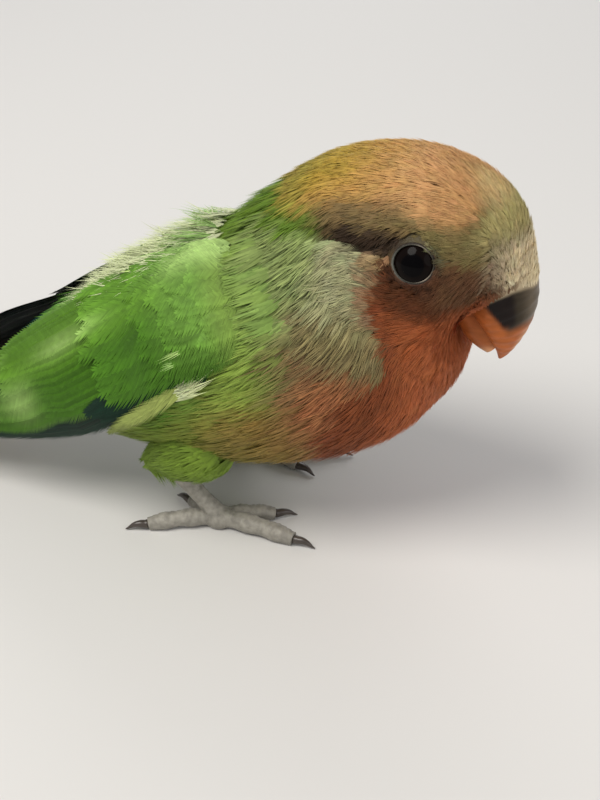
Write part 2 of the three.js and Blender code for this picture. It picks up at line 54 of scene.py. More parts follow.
# Sections of the body: back x and z, belly x and z, half the width, height of the widest place.
TORSO = [
    (-46, 24.2, -43, 16, 6.6, 0.5),
    (-39, 31.8, -33, 16.4, 10.5, 0.5),
    (-31.5, 37, -22.5, 12.4, 15, 0.5),
    (-24, 42, -12, 11, 18.6, 0.5),
    (-15.4, 47.4, -1, 11.2, 20.6, 0.48),
    (-7, 52.6, 10, 12.8, 21.2, 0.47),
    (-0.4, 57.4, 20, 15.8, 20.5, 0.47),
    (4.6, 61.2, 27.5, 20.4, 19, 0.47),
    (8.8, 64.2, 32, 25.8, 17.4, 0.48),
]
HEAD = [
    (-21.6, 3.6, 9.2, -26.6, 16.2, 0.5),
    (-17.2, 7.0, 9.9, -23.6, 15.2, 0.5),
    (-11.8, 9.8, 9.9, -20.8, 14.3, 0.5),
    (-5.8, 11.5, 9.6, -18.4, 13.5, 0.5),
    (0.4, 11.7, 8.8, -16.6, 12.6, 0.51),
    (6.0, 10.1, 7.9, -15.1, 11, 0.53),
    (10.7, 6.8, 7.2, -13.6, 8.6, 0.54),
    (14.9, 0.2, 6.8, -12.0, 5.6, 0.52),
]
SLEEVE_TAIL = [
    (-66, 15.5, -61, 2, 9.6, 0.5),
    (-53, 24, -47, 5, 12, 0.5),
    (-41, 31.8, -33, 8, 14.5, 0.5),
    (-32.5, 37.4, -23, 11, 17, 0.5),
    (-24.5, 42.2, -12.5, 11, 19.2, 0.5),
]


def pitched(x, z):
    """Side view position of a point that is given from the eye, along the head."""
    a = math.radians(HEAD_PITCH)
    return EYE[0] + x * math.cos(a) + z * math.sin(a), EYE[1] - x * math.sin(a) + z * math.cos(a)


def unpitched(x, z):
    """The opposite of pitched."""
    a = math.radians(HEAD_PITCH)
    x, z = x - EYE[0], z - EYE[1]
    return x * math.cos(a) - z * math.sin(a), x * math.sin(a) + z * math.cos(a)


BODY = np.array(TORSO + [(*pitched(*s[0:2]), *pitched(*s[2:4]), *s[4:]) for s in HEAD])
SLEEVE = np.vstack([SLEEVE_TAIL, BODY[4:]])


def between(table, u):
    """A smooth curve through the rows of a table, straight before the first."""
    u = np.asarray(u, float)
    last = len(table) - 1
    i = np.clip(np.floor(u), 0, last - 1).astype(int)
    t = (u - i)[..., None]
    a, b, c, d = (table[np.clip(i + k, 0, last)] for k in (-1, 0, 1, 2))
    bend, twist = 2 * a - 5 * b + 4 * c - d, 3 * b - a - 3 * c + d
    curve = 0.5 * (2 * b + (c - a) * t + bend * t * t + twist * t**3)
    return np.where((u < 0)[..., None], b + (c - b) * u[..., None], curve)


def rise(x, low, high):
    """Goes smoothly from 0 at low to 1 at high. low may be the greater one."""
    t = np.clip((np.asarray(x, float) - low) / (high - low), 0, 1)
    return t * t * (3 - 2 * t)


def mix(a, b, share):
    return a + (b - a) * share


def grid(u, a):
    """Every pair of the numbers of two rows."""
    return np.meshgrid(u, a, indexing="ij")


def circle(count):
    """This many angles, evenly round."""
    return np.arange(count) * 2 * math.pi / count


def unit(v, tiny=0.0):
    return v / (np.linalg.norm(v, axis=-1, keepdims=True) + tiny)


def pad(x):
    """One number a feather, ready to meet arrays of feathers, barbs and points."""
    return np.asarray(x)[:, None, None]


def turned(p, u):
    """Turns the head, and the neck by degrees, to the bird's right."""
    a = np.radians(-HEAD_TURN * rise(u, NECK_ROOT - 0.5, HEAD_ROOT + 1.5))
    x, y = p[..., 0] - TURN_PIVOT_X, p[..., 1]
    c, s = np.cos(a), np.sin(a)
    return np.stack([TURN_PIVOT_X + x * c - y * s, x * s + y * c, p[..., 2]], -1)


def straight_point(u, angle, table=BODY):
    """A point of the outline at a station and an angle, before the head is turned."""
    s = between(table, u)
    share = (0.5 + 0.5 * np.sin(angle)) ** (np.log(s[..., 5]) / math.log(0.5))
    x, z = (mix(s[..., 2 + k], s[..., k], share) for k in (0, 1))
    return np.stack([x, s[..., 4] * np.cos(angle), z], -1)


class Sheet:
    """A surface given by stations and angles: its points, normals and slopes on a fine grid."""

    def __init__(self, place, first, last, step=0.04, turns=720):
        self.first, self.step, self.turns = first, step, turns
        self.u = np.arange(first, last + step / 2, step)
        self.angle = circle(turns)
        u, angle = grid(self.u, self.angle)
        e = 0.01
        along = (place(u + e, angle) - place(u - e, angle)) / (2 * e)
        round_ = (place(u, angle + e) - place(u, angle - e)) / (2 * e)
        normal = unit(np.cross(round_, along), 1e-9)
        self.grid = np.concatenate([place(u, angle), normal, along, round_], -1)

    def read(self, u, angle, columns):
        r = np.clip((u - self.first) / self.step, 0, len(self.u) - 1.001)
        c = np.mod(angle / (2 * math.pi) * self.turns, self.turns)
        i, j = r.astype(int), c.astype(int) % self.turns
        fr, fc = (r - i)[..., None], (c - np.floor(c))[..., None]
        k = (j + 1) % self.turns
        g = self.grid[..., columns]
        here, ahead = (g[row, j] * (1 - fc) + g[row, k] * fc for row in (i, i + 1))
        return here * (1 - fr) + ahead * fr

    def at(self, u, angle, lift=0.0):
        v = self.read(u, angle, slice(0, 6))
        lift = np.asarray(lift)
        return v[..., :3] + v[..., 3:] * lift[..., None]


body = Sheet(lambda u, a: turned(straight_point(u, a), u), -0.5, FACE_END)
sleeve = Sheet(lambda u, a: turned(straight_point(u, a, SLEEVE), u - 1), -0.6, 9)


def head_surface(x, z, side):
    """Where the head's surface is at a side view position measured from the eyes."""
    u = body.u[body.u >= HEAD_ROOT]
    angle = np.radians(np.arange(-60, 80, 0.5))
    U, A = grid(u, angle)
    p = straight_point(U, A)
    hx, hz = unpitched(p[..., 0], p[..., 2])
    k = np.unravel_index(np.argmin(np.hypot(hx - x, hz - z)), U.shape)
    a = A[k] if side == LEFT else math.pi - A[k]
    v = body.read(np.array(U[k]), np.array(a), slice(0, 12))
    return v[:3], v[3:6], v[6:9] / np.linalg.norm(v[6:9])


def face_point(x, y, z):
    """The turned place of a point that is given from the eye, along the head."""
    px, pz = pitched(np.asarray(x, float), np.asarray(z, float))
    px, y, pz = np.broadcast_arrays(px, y, pz)
    return turned(np.stack([px, y, pz], -1), FACE_END)


eyes = {}
for side in (LEFT, RIGHT):
    at, out, forward = head_surface(0, 0, side)
    centre = at + out * (EYE_STANDS_OUT - EYEBALL)
    eyes[side] = {"at": at, "out": out, "forward": forward, "centre": centre}

# The solids stand with the middle of the whole bird over the origin: this is how far they were moved.
low, high = (np.array(v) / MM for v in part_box("eye_left"))
SHIFT = (low + high) / 2 - eyes[LEFT]["centre"]

# Colours


def rgb(r, g, b):
    c = np.array([r, g, b]) / 255.0
    return np.where(c <= 0.04045, c / 12.92, ((c + 0.055) / 1.055) ** 2.4)


GREEN_BACK = rgb(92, 144, 42)
MANTLE_PALE_AND_HIGHLIGHT = rgb(214, 234, 150)
NAPE = rgb(92, 122, 28)
COLLAR = rgb(142, 168, 70)
# the belly's yellow-green, a little darker than its own: partly painted shade
BELLY = rgb(112, 130, 44)
BREAST = rgb(142, 118, 58)
THROAT = rgb(160, 102, 64)
CHEEK_GREEN = rgb(130, 146, 84)
CHEEK = rgb(162, 161, 121)
CHEEK_LOW = rgb(130, 118, 78)
CHEEK_BROWN = rgb(130, 100, 66)
CROWN_ORANGE = rgb(200, 154, 102)
CROWN_GOLD = rgb(186, 144, 72)
CROWN_YELLOW = rgb(172, 144, 54)
CROWN_OLIVE = rgb(138, 132, 52)
TAN = rgb(118, 98, 60)
OLIVE = rgb(130, 116, 72)
FOREHEAD = rgb(186, 174, 116)
FOREHEAD_TOP = rgb(208, 184, 130)
CREAM = rgb(246, 230, 192)
BROW_BROWN_AND_SHADE = rgb(38, 22, 8)
LORES = rgb(107, 73, 47)
UNDER_EYE = rgb(92, 50, 23)
CHIN = rgb(178, 96, 52)
PALE = rgb(160, 144, 96)
BEHIND_EYE = rgb(150, 122, 90)
THIGH_GREEN = rgb(112, 138, 46)
RUMP_BLUE = rgb(62, 132, 178)
DOWN = rgb(208, 216, 170)
DOWN_GREEN = rgb(142, 180, 96)


def blended(colour, other, share):
    return colour + (other - colour) * np.asarray(share)[..., None]


def layered(colour, *layers):
    """Lays more colours over a colour, each with its share."""
    for other, share in layers:
        colour = blended(colour, other, share)
    return colour


def plain(colour, shape):
    return np.broadcast_to(colour, (*shape, 3))


def band(x, middle, half):
    """A soft band of this half width about a middle line."""
    return np.exp(-(((x - middle) / half) ** 2))


def brow_height(hx):
    """Height over the eye's middle of the line that divides the crown from the cheek."""
    return np.interp(hx, [-24, -22, -16.5, -14.2, -10.2, -8, -6.2, -4, -1, 1.5, 5.5, 8],
                     [-4.4, -3.2, -1.7, -1.2, -0.8, -0.7, -0.2, 1.0, 2.9, 4, 1.8, 0.5])


def cream_share(hx, hz):
    """The pale feathers over the bill."""
    return rise(hx + 0.25 * hz, 9.2, 14.0) * rise(hz, -3.8, -0.6) * rise(hz, 6.8, 3.2)


def beside_eye(u, angle):
    """How far a place lies ahead of and above the eye, along the head, and how far from the middle."""
    p = straight_point(u, angle)
    return *unpitched(p[..., 0], p[..., 2]), np.abs(p[..., 1])


def markings(u, angle):
    """The plumage's colour at a place of the body, with painted shade round the eye and on the chin, and
    painted highlight on the back.
    """
    hx, hz, y = beside_eye(u, angle)
    top = np.sin(angle)
    nape = rise(u, 5.4, 6.3) * rise(top, 0.72, 0.92)
    nape = nape + rise(u, 6.6, 7.4) * rise(top, 0.3, 0.7) * rise(top, 0.92, 0.72)
    brow = brow_height(hx)
    edge = np.interp(hz, [-22, -16.4, -12.5, -10.3, -6.1, -4.2, -1.7, 0],
                     [-3.2, 2.2, 1.6, 0.6, -1.6, -2.3, -3.6, -4.0])
    cheek = rise(u, 5.9, 7.4) * rise(hz - brow, 1.0, -0.6) * rise(y, 5, 9)
    throat = rise(hx + 0.35 * (-22 - hz), -12, -5) * rise(hz, -16, -21)
    behind = rise(hx - edge, -3.4, -1.8) * rise(hz, -14, -10) * rise(u, 8.5, 9.5) * rise(hz, 2, 1)
    face = rise(hx - edge, -0.9, 0.7)
    # the chin's colour, darkened behind towards the throat and in front by the bill as painted shade
    shaded_chin = CHIN * mix(0.52, 0.95, rise(hx, 1, 7) * rise(hx, 12, 8.5))[..., None]
    lower = np.interp(hx, [-25, -22, -17.4, -14.5, -10.5, -6.2, -2.9, -0.5, 2.3, 5.4, 7],
                      [-1.5, -0.5, 1.9, 3.0, 5.2, 6.7, 7.1, 6.5, 6.4, 6.9, 8.2])
    front = np.interp(hz, [6.5, 8.1, 9.8, 11.1, 11.6], [7.4, 6.8, 5.8, 3.3, 1.8])
    crown = rise(u, 7.7, 8.7) * rise(hz - lower, -1.6, 1.3) * rise(hx - front, 1.2, -1.6)
    deep = hz - brow
    slim = 1.2 * rise(hx, -6, -1) + 0.9 * rise(hx, -9, -13) - 0.8 * band(hx, -9, 4)
    # where the crease under the overhanging brow gets its painted shade
    crease = rise(deep, -1.3, -0.2) * rise(deep + slim, 3.6, 1.8)
    crease = crease * rise(hx, -18.5, -12) * rise(hx, 1.5, -2.5) * rise(y, 7, 10)
    ring = np.hypot(hx, hz)
    return layered(
        plain(GREEN_BACK, np.shape(u)),
        # the body and the neck
        (BELLY, rise(-top, -0.1, 0.4)),
        (RUMP_BLUE, 0.9 * rise(u, 2.0, 0.6) * rise(top, 0.3, 0.7)),
        # the top of the back: partly the pale down's own colour, partly painted highlight where light falls
        # from above
        (MANTLE_PALE_AND_HIGHLIGHT, 0.8 * rise(u, 2.4, 3.6) * rise(top, 0.4, 0.8) * rise(u, 6.2, 5.4)),
        (COLLAR, rise(u, 4.4, 5.2) * rise(u, 7.1, 6.1) * rise(top, -0.35, 0.05)),
        (NAPE, nape),
        (BREAST, rise(-top, -0.12, 0.25) * rise(u, 3.8, 5.8)),
        # the cheek, up to the brow and the face
        (CHEEK_GREEN, cheek),
        (CHEEK, cheek * rise(hx, -18, -9) * rise(hz, -18, -10)),
        (CHEEK_LOW, cheek * rise(hz, -8.0, -13.2) * rise(hx, -20, -14)),
        (CHEEK_BROWN, cheek * rise(hz, -15.5, -19.5) * rise(hx, -20, -14)),
        (THROAT, rise(u, 5.6, 7.0) * np.maximum(throat, rise(-top, 0.55, 0.9))),
        # the face, from the brow down to the chin
        (TAN, rise(u, 8.6, 10.0) * rise(hz - brow, -0.4, 0.8)),
        (BEHIND_EYE, behind),
        (mix(LORES, CHIN, 0.3), face * rise(hz, 2.0, 0.0)),
        (shaded_chin, face * rise(hz, -3.5, -6.5)),
        (UNDER_EYE, face * rise(hz, 0, -2) * rise(hz, -8.5, -5.0) * rise(hx, 9.0, 6)),
        (LORES, rise(hx, 3.2, 6.0) * rise(hz, 3.4, 1.6) * rise(hz, -5.0, -2.6)),
        # the forehead and the crown
        (OLIVE, rise(hx, -4, 1.5) * rise(hz, 2.2, 3.6)),
        (FOREHEAD, rise(hx, 6.2, 8.6) * rise(hz, 4.0, 6.5)),
        (FOREHEAD_TOP, rise(hx, 1.0, 4.0) * rise(hz, 7.8, 9.8)),
        (mix(CROWN_GOLD, CROWN_ORANGE, rise(hx, -13, -2)[..., None]), crown),
        (CROWN_YELLOW, crown * rise(u, 11.4, 10.0) * rise(y, 9.5, 6.0)),
        (CROWN_OLIVE, 0.7 * crown * rise(hx, -18, -23)),
        # dark brown with painted shade: the crease behind and over the eye, the line before it and the fold
        # under it
        (BROW_BROWN_AND_SHADE, (0.95 - 0.25 * rise(hx, -9, -13)) * crease),
        (BROW_BROWN_AND_SHADE, 0.6 * band(hz, 4.6 - 0.7 * hx, 0.9) * rise(hx, 1.0, 2.5) * rise(hx, 7.5, 5)),
        (BROW_BROWN_AND_SHADE, 0.6 * band(ring, 3.6, 0.6) * rise(hz, -0.5, -2.0)),
        (BROW_BROWN_AND_SHADE, 0.6 * rise(ring, 6.2, 4.0) * rise(hx, 1.5, 3.0) * rise(hz, 3.6, 2.2)),
        # pale feathers behind the eye and over the bill
        (PALE, 0.6 * band(hx, -4.3, 0.7) * band(hz, -1.5, 1.1)),
        (CREAM, cream_share(hx, hz)),
    )


# Meshes


def make_object(name, vertices, faces, smooth=True):
    mesh = bpy.data.meshes.new(name)
    sizes = np.concatenate([np.full(len(f), f.shape[1]) for f in faces])
    corners = np.concatenate([f.ravel() for f in faces])
    mesh.vertices.add(len(vertices))
    mesh.vertices.foreach_set("co", ((vertices + SHIFT) * MM).astype(np.float32).ravel())
    mesh.loops.add(len(corners))
    mesh.loops.foreach_set("vertex_index", corners.astype(np.int32))
    mesh.polygons.add(len(sizes))
    mesh.polygons.foreach_set("loop_start", (np.cumsum(sizes) - sizes).astype(np.int32))
    mesh.polygons.foreach_set("use_smooth", np.full(len(sizes), smooth))
    mesh.update(calc_edges=True)
    obj = bpy.data.objects.new(name, mesh)
    bpy.context.collection.objects.link(obj)
    return obj


def paint(obj, colours):
    layer = obj.data.color_attributes.new("tint", "FLOAT_COLOR", "POINT")
    rgba = np.ones((len(obj.data.vertices), 4), np.float32)
    rgba[:, :3] = np.clip(colours, 0, 1)
    layer.data.foreach_set("color", rgba.ravel())


def unwrap(obj, uv):
    """uv is given for each vertex."""
    layer = obj.data.uv_layers.new(name="OFBake")
    corner = np.empty(len(obj.data.loops), np.int32)
    obj.data.loops.foreach_get("vertex_index", corner)
    layer.data.foreach_set("uv", uv[corner].astype(np.float32).ravel())


def tube_faces(rings, sides):
    """Quads between rings of the same number of points, and triangles that close both ends."""
    k, i = grid(np.arange(rings - 1), np.arange(sides))
    j = (i + 1) % sides
    corners = [k * sides + i, k * sides + j, (k + 1) * sides + j, (k + 1) * sides + i]
    quads = np.stack(corners, -1).reshape(-1, 4)
    i = np.arange(sides)
    j = (i + 1) % sides
    start = np.stack([j, i, np.full(sides, rings * sides)], -1)
    last = (rings - 1) * sides
    end = np.stack([last + i, last + j, np.full(sides, rings * sides + 1)], -1)
    return [quads, np.vstack([start, end])]


def loft(rings):
    """rings is an array of rings by sides by 3. Returns vertices and faces."""
    caps = np.stack([rings[0].mean(0), rings[-1].mean(0)])
    return np.vstack([rings.reshape(-1, 3), caps]), tube_faces(*rings.shape[:2])


def with_caps(tint):
    """The colours of a loft's points, from those of its rings."""
    return np.vstack([tint.reshape(-1, 3), tint[[0, -1], 0]])


def joined(lofts):
    """One mesh of several lofts."""
    vertices, faces, count = [], [], 0
    for rings in lofts:
        v, f = loft(rings)
        vertices.append(v)
        faces += [x + count for x in f]
        count += len(v)
    return np.vstack(vertices), faces


def lofted(name, rings, tint, material, slot, node):
    """A piece made of one loft, painted with its rings' colours."""
    obj = make_object(name, *loft(rings))
    paint(obj, with_caps(tint))
    finish_piece(obj, material, slot, node)


# Feathers

UV_PATCH = 0.003  # width of a feather's patch on the unwrap


def outline(s, shoulder=0.55, base=0.6, power=2.2):
    """Half the width of a vane at a share of its length, as a share of its greatest."""
    near = mix(base, 1.0, np.sin(0.5 * math.pi * np.clip(s / shoulder, 0, 1)))
    far = np.sqrt(np.clip(1 - np.clip((s - shoulder) / (1 - shoulder), 0, 1) ** power, 0, 1))
    return np.where(s < shoulder, near, 0.1 + 0.9 * far)


def blade_steps(steps):
    """Share of a blade's length, and -1, 0 or 1 for its edges and ridge, at each of its points."""
    t = np.append(np.repeat(np.arange(steps) / steps, 3), 1.0)
    edge = np.append(np.tile([-1.0, 0.0, 1.0], steps), 0.0)
    return t[None, None], edge[None, None]


class Coat:
    """Feathers joined into one piece. Each barb is a closed blade with a ridge along its middle."""

    def __init__(self, name, slot, seed, side=None, mirrored=True):
        """A coat of one side takes the side's name, and a seed of its own."""
        self.name = name if side is None else f"{name}_{SIDE_NAME[side]}"
        self.slot = slot
        self.rng = np.random.default_rng(seed + (side or 0))
        self.parts = []
        self.count = 0
        # whether c runs the other way round, seen from outside
        self.mirrored = mirrored and side == RIGHT

    def stray(self, scale, *shape):
        """Random numbers about 0, of this spread."""
        return self.rng.normal(0, scale, shape)

    def vary(self, scale, *shape):
        """Random factors about 1."""
        return 1 + self.stray(scale, *shape)

    def add(self, place, colours, uv, barbs=6, steps=2, sweep=0.3, bend=1.25, blade=1.15, tip=0.25,
            thick=0.07, camber=0.3, ragged=0.08, wild=0.05, shape=outline, paint_barb=None, first=0.03,
            barb_tint=0.16):
        """Vanes, with barbs on both sides of a shaft. place(s, c, lift) maps shares of length and of half
        the width, and a lift in mm, to points. colours has root, middle and tip colours of each feather."""
        n = len(uv)
        r = (np.arange(barbs) + 0.5) / barbs
        r = np.concatenate([r, r])[None, :, None]
        side = np.repeat([1.0, -1.0], barbs)[None, :, None]
        t, edge = blade_steps(steps)
        noise = lambda scale: self.stray(scale, n, 2 * barbs, 1)
        wide = 0.5 * blade / barbs * mix(1.0, tip, t) * (t < 1)
        rr = np.clip(r + edge * wide, -0.02, 1.02)
        root = first + (0.95 - first) * rr
        end = np.minimum(root + sweep * (1 - np.clip(rr, 0, 1) ** 3) + 0.05 * np.clip(rr, 0, 1) ** 3, 1)
        tt = t * (1 + np.clip(noise(ragged), -0.3, 0.2))
        s = root + (end - root) * tt**bend + t * noise(wild)
        c = side * shape(np.clip(end, 0, 1)) * tt**0.92 + t * noise(wild)
        barb_lift = t * np.abs(noise(thick * 0.8)) + thick * (edge == 0) * (1 - 0.7 * t)
        lift = barb_lift + camber * (1 - np.clip(c, -1, 1) ** 2)
        self.blades(place, s, c, lift, np.repeat([True, False], barbs), colours, uv, barb_tint, paint_barb)

    def add_strands(self, place, colours, uv, strands, blade, steps=2, thick=0.05, short=0.3, wild=0.1,
                    barb_tint=0.16, curl=0.0, loose=0.0):
        """Hair-like feathers: narrow strands from one root that run side by side. loose lifts them apart."""
        base, fan, camber, ragged = 0.25, 0.9, 0.1, 0.1
        n = len(uv)
        lane = np.linspace(-1, 1, strands)[None, :, None]
        t, edge = blade_steps(steps)
        noise = lambda scale: self.stray(scale, n, strands, 1)
        lane = lane + noise(0.12)
        reach = (1 - short * lane**2) * (1 + np.clip(noise(ragged), -0.35, 0.25))
        begin = 0.12 * np.abs(lane)
        s = begin + (reach - begin) * t
        middle = lane * mix(base, fan, t**0.9) + noise(wild) * t**1.5 + noise(curl) * t**2.5
        c = middle + edge * blade * (1 - 0.55 * t) * (t < 1)
        lift = camber * (1 - np.clip(lane, -1, 1) ** 2) + thick * (edge == 0) * (1 - 0.6 * t)
        lift = lift + t * np.abs(noise(thick * 1.2)) + t**1.3 * np.abs(noise(loose)) * (loose > 0)
        self.blades(place, s, c, lift, np.zeros(strands, bool), colours, uv, barb_tint)

    def blades(self, place, s, c, lift, flip, colours, uv, barb_tint, paint_barb=None):
        """Builds every blade: three points at each step and one at the end, closed all round."""
        s, c, lift = np.broadcast_arrays(s, c, lift)
        n, count, v = s.shape
        points = place(s, c, lift)
        root_colour, mid_colour, tip_colour = (x[:, None, None, :] for x in colours)
        along = np.clip(s, 0, 1)[..., None]
        tint = mix(root_colour, mid_colour, rise(along, 0.0, 0.45))
        tint = mix(tint, tip_colour, rise(along, 0.65, 1.0))
        uneven = np.broadcast_to(barb_tint, n)[:, None, None, None]
        tint = tint * (1 + np.clip(self.stray(1, n, count, 1, 1), -2.5, 3) * uneven)
        if paint_barb:
            tint = paint_barb(tint, s, c)
        spot = np.stack([c, s * 2 - 1], -1) * UV_PATCH / 2 + uv[:, None, None, :]
        sides = ((1, 0), (2, 1), (0, 2))
        quads = [(a + i, a + j, a + j + 3, a + i + 3) for a in range(0, v - 4, 3) for i, j in sides]
        ends = [(v - 4 + i, v - 4 + j, v - 1) for i, j in sides] + [(0, 1, 2)]
        start = (np.arange(n * count) * v).reshape(n, count)
        flip = flip ^ self.mirrored
        made = []
        for f in map(np.array, filter(None, (quads, ends))):
            for way, turn in ((~flip, 1), (flip, -1)):
                first = start[:, way].reshape(-1, 1, 1) + self.count
                made.append((first + f[:, ::turn]).reshape(-1, f.shape[1]))
        self.parts.append((points.reshape(-1, 3), made, tint.reshape(-1, 3), spot.reshape(-1, 2)))
        self.count += n * count * v

    def build(self, material, *nodes):
        """Makes the piece. It stands in place of these nodes of the solids, if any are named."""
        points, faces, tints, spots = zip(*self.parts)
        obj = make_object(self.name, np.vstack(points), [f for made in faces for f in made], smooth=False)
        paint(obj, np.vstack(tints))
        unwrap(obj, np.vstack(spots))
        finish_piece(obj, material, self.slot, *nodes)


def finish_piece(obj, material, slot, *nodes):
    obj.data.materials.append(material)
    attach(obj, "root")
    if nodes:
        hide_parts(*nodes)


def spread(sheet, rng, spacing, allowed, u_low, u_high):
    """Roots over a surface, about spacing(u, angle) apart."""
    closest, tries = 0.86, 4  # as shares of the spacing, and of the number that would fill the surface
    u, angle = grid(sheet.u, sheet.angle)
    along, round_ = sheet.grid[..., 6:9], sheet.grid[..., 9:12]
    area = np.linalg.norm(np.cross(along, round_), axis=-1) * sheet.step * 2 * math.pi / sheet.turns
    gap = spacing(u, angle)
    ok = allowed(u, angle) & (u >= u_low) & (u <= u_high)
    density = np.where(ok, area / gap**2, 0).ravel()
    total = density.sum()
    count = int(total * tries)
    cell = rng.choice(density.size, count, p=density / total)
    cu = np.clip(u.ravel()[cell] + sheet.step * rng.random(count), sheet.first, sheet.u[-1])
    ca = angle.ravel()[cell] + 2 * math.pi / sheet.turns * rng.random(count)
    points = sheet.at(cu, ca)
    near = spacing(cu, ca) * closest
    taken, chosen = {}, []
    keys = np.floor(points / near.max()).astype(int)
    offsets = [(x, y, z) for x in (-1, 0, 1) for y in (-1, 0, 1) for z in (-1, 0, 1)]
    rows = zip(keys.tolist(), points.tolist(), (near**2).tolist())
    for row, ((i, j, k), (px, py, pz), limit) in enumerate(rows):
        around = (q for x, y, z in offsets for q in taken.get((i + x, j + y, k + z), ()))
        if all((px - x) ** 2 + (py - y) ** 2 + (pz - z) ** 2 >= limit for x, y, z in around):
            taken.setdefault((i, j, k), []).append((px, py, pz))
            chosen.append(row)
    return cu[chosen], ca[chosen]


def eye_gap(points):
    """Distance to the nearer eye."""
    return np.minimum.reduce([np.linalg.norm(points - e["at"], axis=-1) for e in eyes.values()])


def eye_flow(points, tangents):
    """Turns directions so that feathers part round the eyes, as water round a post."""
    post, closest, reach = 3.6, 3.4, 12
    result = tangents.copy()
    for e in eyes.values():
        d = points - e["at"]
        back = -e["forward"]
        upward = np.cross(e["out"], back)
        x, y = d @ back, d @ upward
        away = np.maximum(np.hypot(x, y), closest)
        near = np.linalg.norm(d, axis=-1) < reach
        vx = 1 - post**2 * (x * x - y * y) / away**4
        vy = -(post**2) * 2 * x * y / away**4
        new = vx[:, None] * back + vy[:, None] * upward
        result[near] = new[near]
    return result


def drape(sheet, u, angle, direction, length, width, lifts, curl=None):
    """Returns place(s, c, lift) for feathers that lie on a surface from roots u, angle."""
    v = sheet.read(u, angle, slice(0, 12))
    normal, along, round_ = v[:, 3:6], v[:, 6:9], v[:, 9:12]
    d = unit(direction - (direction * normal).sum(-1, keepdims=True) * normal)
    across = np.cross(normal, d)
    g11, g12, g22 = ((a * b).sum(-1) for a, b in ((along, along), (along, round_), (round_, round_)))
    det = g11 * g22 - g12**2

    def solve(w):
        b1, b2 = (along * w).sum(-1), (round_ * w).sum(-1)
        return (g22 * b1 - g12 * b2) / det, (g11 * b2 - g12 * b1) / det

    (du, da), (eu, ea) = solve(d), solve(across)
    low, high = map(pad, lifts)

    def place(s, c, lift):
        a = s * pad(length)
        b = c * pad(width) / 2
        if curl is not None:
            b = b + pad(curl) * s * s
        uu = pad(u) + a * pad(du) + b * pad(eu)
        aa = pad(angle) + a * pad(da) + b * pad(ea)
        return sheet.at(uu, aa, low + (high - low) * np.clip(s, 0, 1.2) ** 0.8 + lift)

    return place


def even(value):
    """The same value all over a surface, for spread."""
    return lambda u, a: np.full(np.shape(u), value)


# Materials


def set_inputs(node, **values):
    for name, value in values.items():
        node.inputs[name.replace("_", " ")].default_value = value


def new_material(name):
    material = bpy.data.materials.new(name)
    material.use_nodes = True
    nodes = material.node_tree.nodes
    nodes.clear()
    out = nodes.new("ShaderNodeOutputMaterial")
    shader = nodes.new("ShaderNodeBsdfPrincipled")
    material.node_tree.links.new(shader.outputs[0], out.inputs[0])
    return material, nodes, material.node_tree.links, shader


def tinted(name, roughness=0.55, sheen=0.25, noise_scale=900.0, contrast=0.25, bump=0.0, bump_scale=2500.0,
           specular=0.35, coat=0.0, coat_roughness=0.1, stretch=(1, 1, 1)):
    """A material with the colours of the mesh's tint, made uneven by noise."""
    material, nodes, links, shader = new_material(name)

    def add(kind, **values):
        node = nodes.new("ShaderNode" + kind)
        set_inputs(node, **values)
        return node

    attribute = add("VertexColor")
    attribute.layer_name = "tint"
    place = add("TexCoord")
    mapping = add("Mapping", Scale=stretch)
    links.new(place.outputs["Object"], mapping.inputs["Vector"])
    noise = add("TexNoise", Scale=noise_scale, Detail=4)
    links.new(mapping.outputs[0], noise.inputs["Vector"])
    span = add("MapRange", From_Min=0.3, From_Max=0.7, To_Min=1 - contrast, To_Max=1 + contrast)
    links.new(noise.outputs["Fac"], span.inputs["Value"])
    scale = add("VectorMath")
    scale.operation = "SCALE"
    links.new(attribute.outputs["Color"], scale.inputs[0])
    links.new(span.outputs[0], scale.inputs["Scale"])
    links.new(scale.outputs[0], shader.inputs["Base Color"])
    set_inputs(shader, Roughness=roughness, Specular_IOR_Level=specular, Sheen_Weight=sheen,
               Sheen_Roughness=0.4, Coat_Weight=coat, Coat_Roughness=coat_roughness)
    if bump:
        fine = add("TexNoise", Scale=bump_scale, Detail=3)
        links.new(place.outputs["Object"], fine.inputs["Vector"])
        dent = add("Bump", Strength=bump, Distance=0.0003)
        links.new(fine.outputs["Fac"], dent.inputs["Height"])
        links.new(dent.outputs[0], shader.inputs["Normal"])
    return material


feather_material = tinted("feather", roughness=0.6, sheen=0.04, contrast=0.08, specular=0.2)
vane_material = tinted("flight_feather", roughness=0.5, sheen=0.0, contrast=0.08, specular=0.12)
skin_material = tinted("down_skin", roughness=0.7, sheen=0.05, contrast=0.15, bump=0.4, specular=0.2)
lid_material = tinted("eyelid", roughness=0.5, sheen=0.1, contrast=0.15, bump=0.6, bump_scale=3500)
foot_material = tinted("scaly_foot", roughness=0.5, sheen=0.05, contrast=0.25, bump=0.5, bump_scale=2200)
bill_material = tinted("bill", roughness=0.36, sheen=0.0, contrast=0.16, noise_scale=420, bump=0.16,
                       bump_scale=1100, specular=0.12, coat=0.06, coat_roughness=0.25, stretch=(1, 1, 3))
claw_material = tinted("claw", roughness=0.35, sheen=0.0, contrast=0.2, noise_scale=600, bump=0.1,
                       specular=0.5, coat=0.2)
eye_material = tinted("eyeball", roughness=0.12, sheen=0.0, contrast=0.1, specular=0.04, coat=0.03,
                      coat_roughness=0.03)

# Thighs: tubes from the heel (station 0) up into the flank
FOOT = (-4, 12)
HEEL = (-10, 0.6, 13)
THIGH = np.array([  # x, y, z and radius
    (-15.8, 12.6, 12.2, 1.8), (-13.0, 12.7, 13.9, 3.9), (-9, 12.9, 15.8, 5.9), (-4.5, 12.8, 18, 6.2),
    (0, 12, 20, 3.5),
])


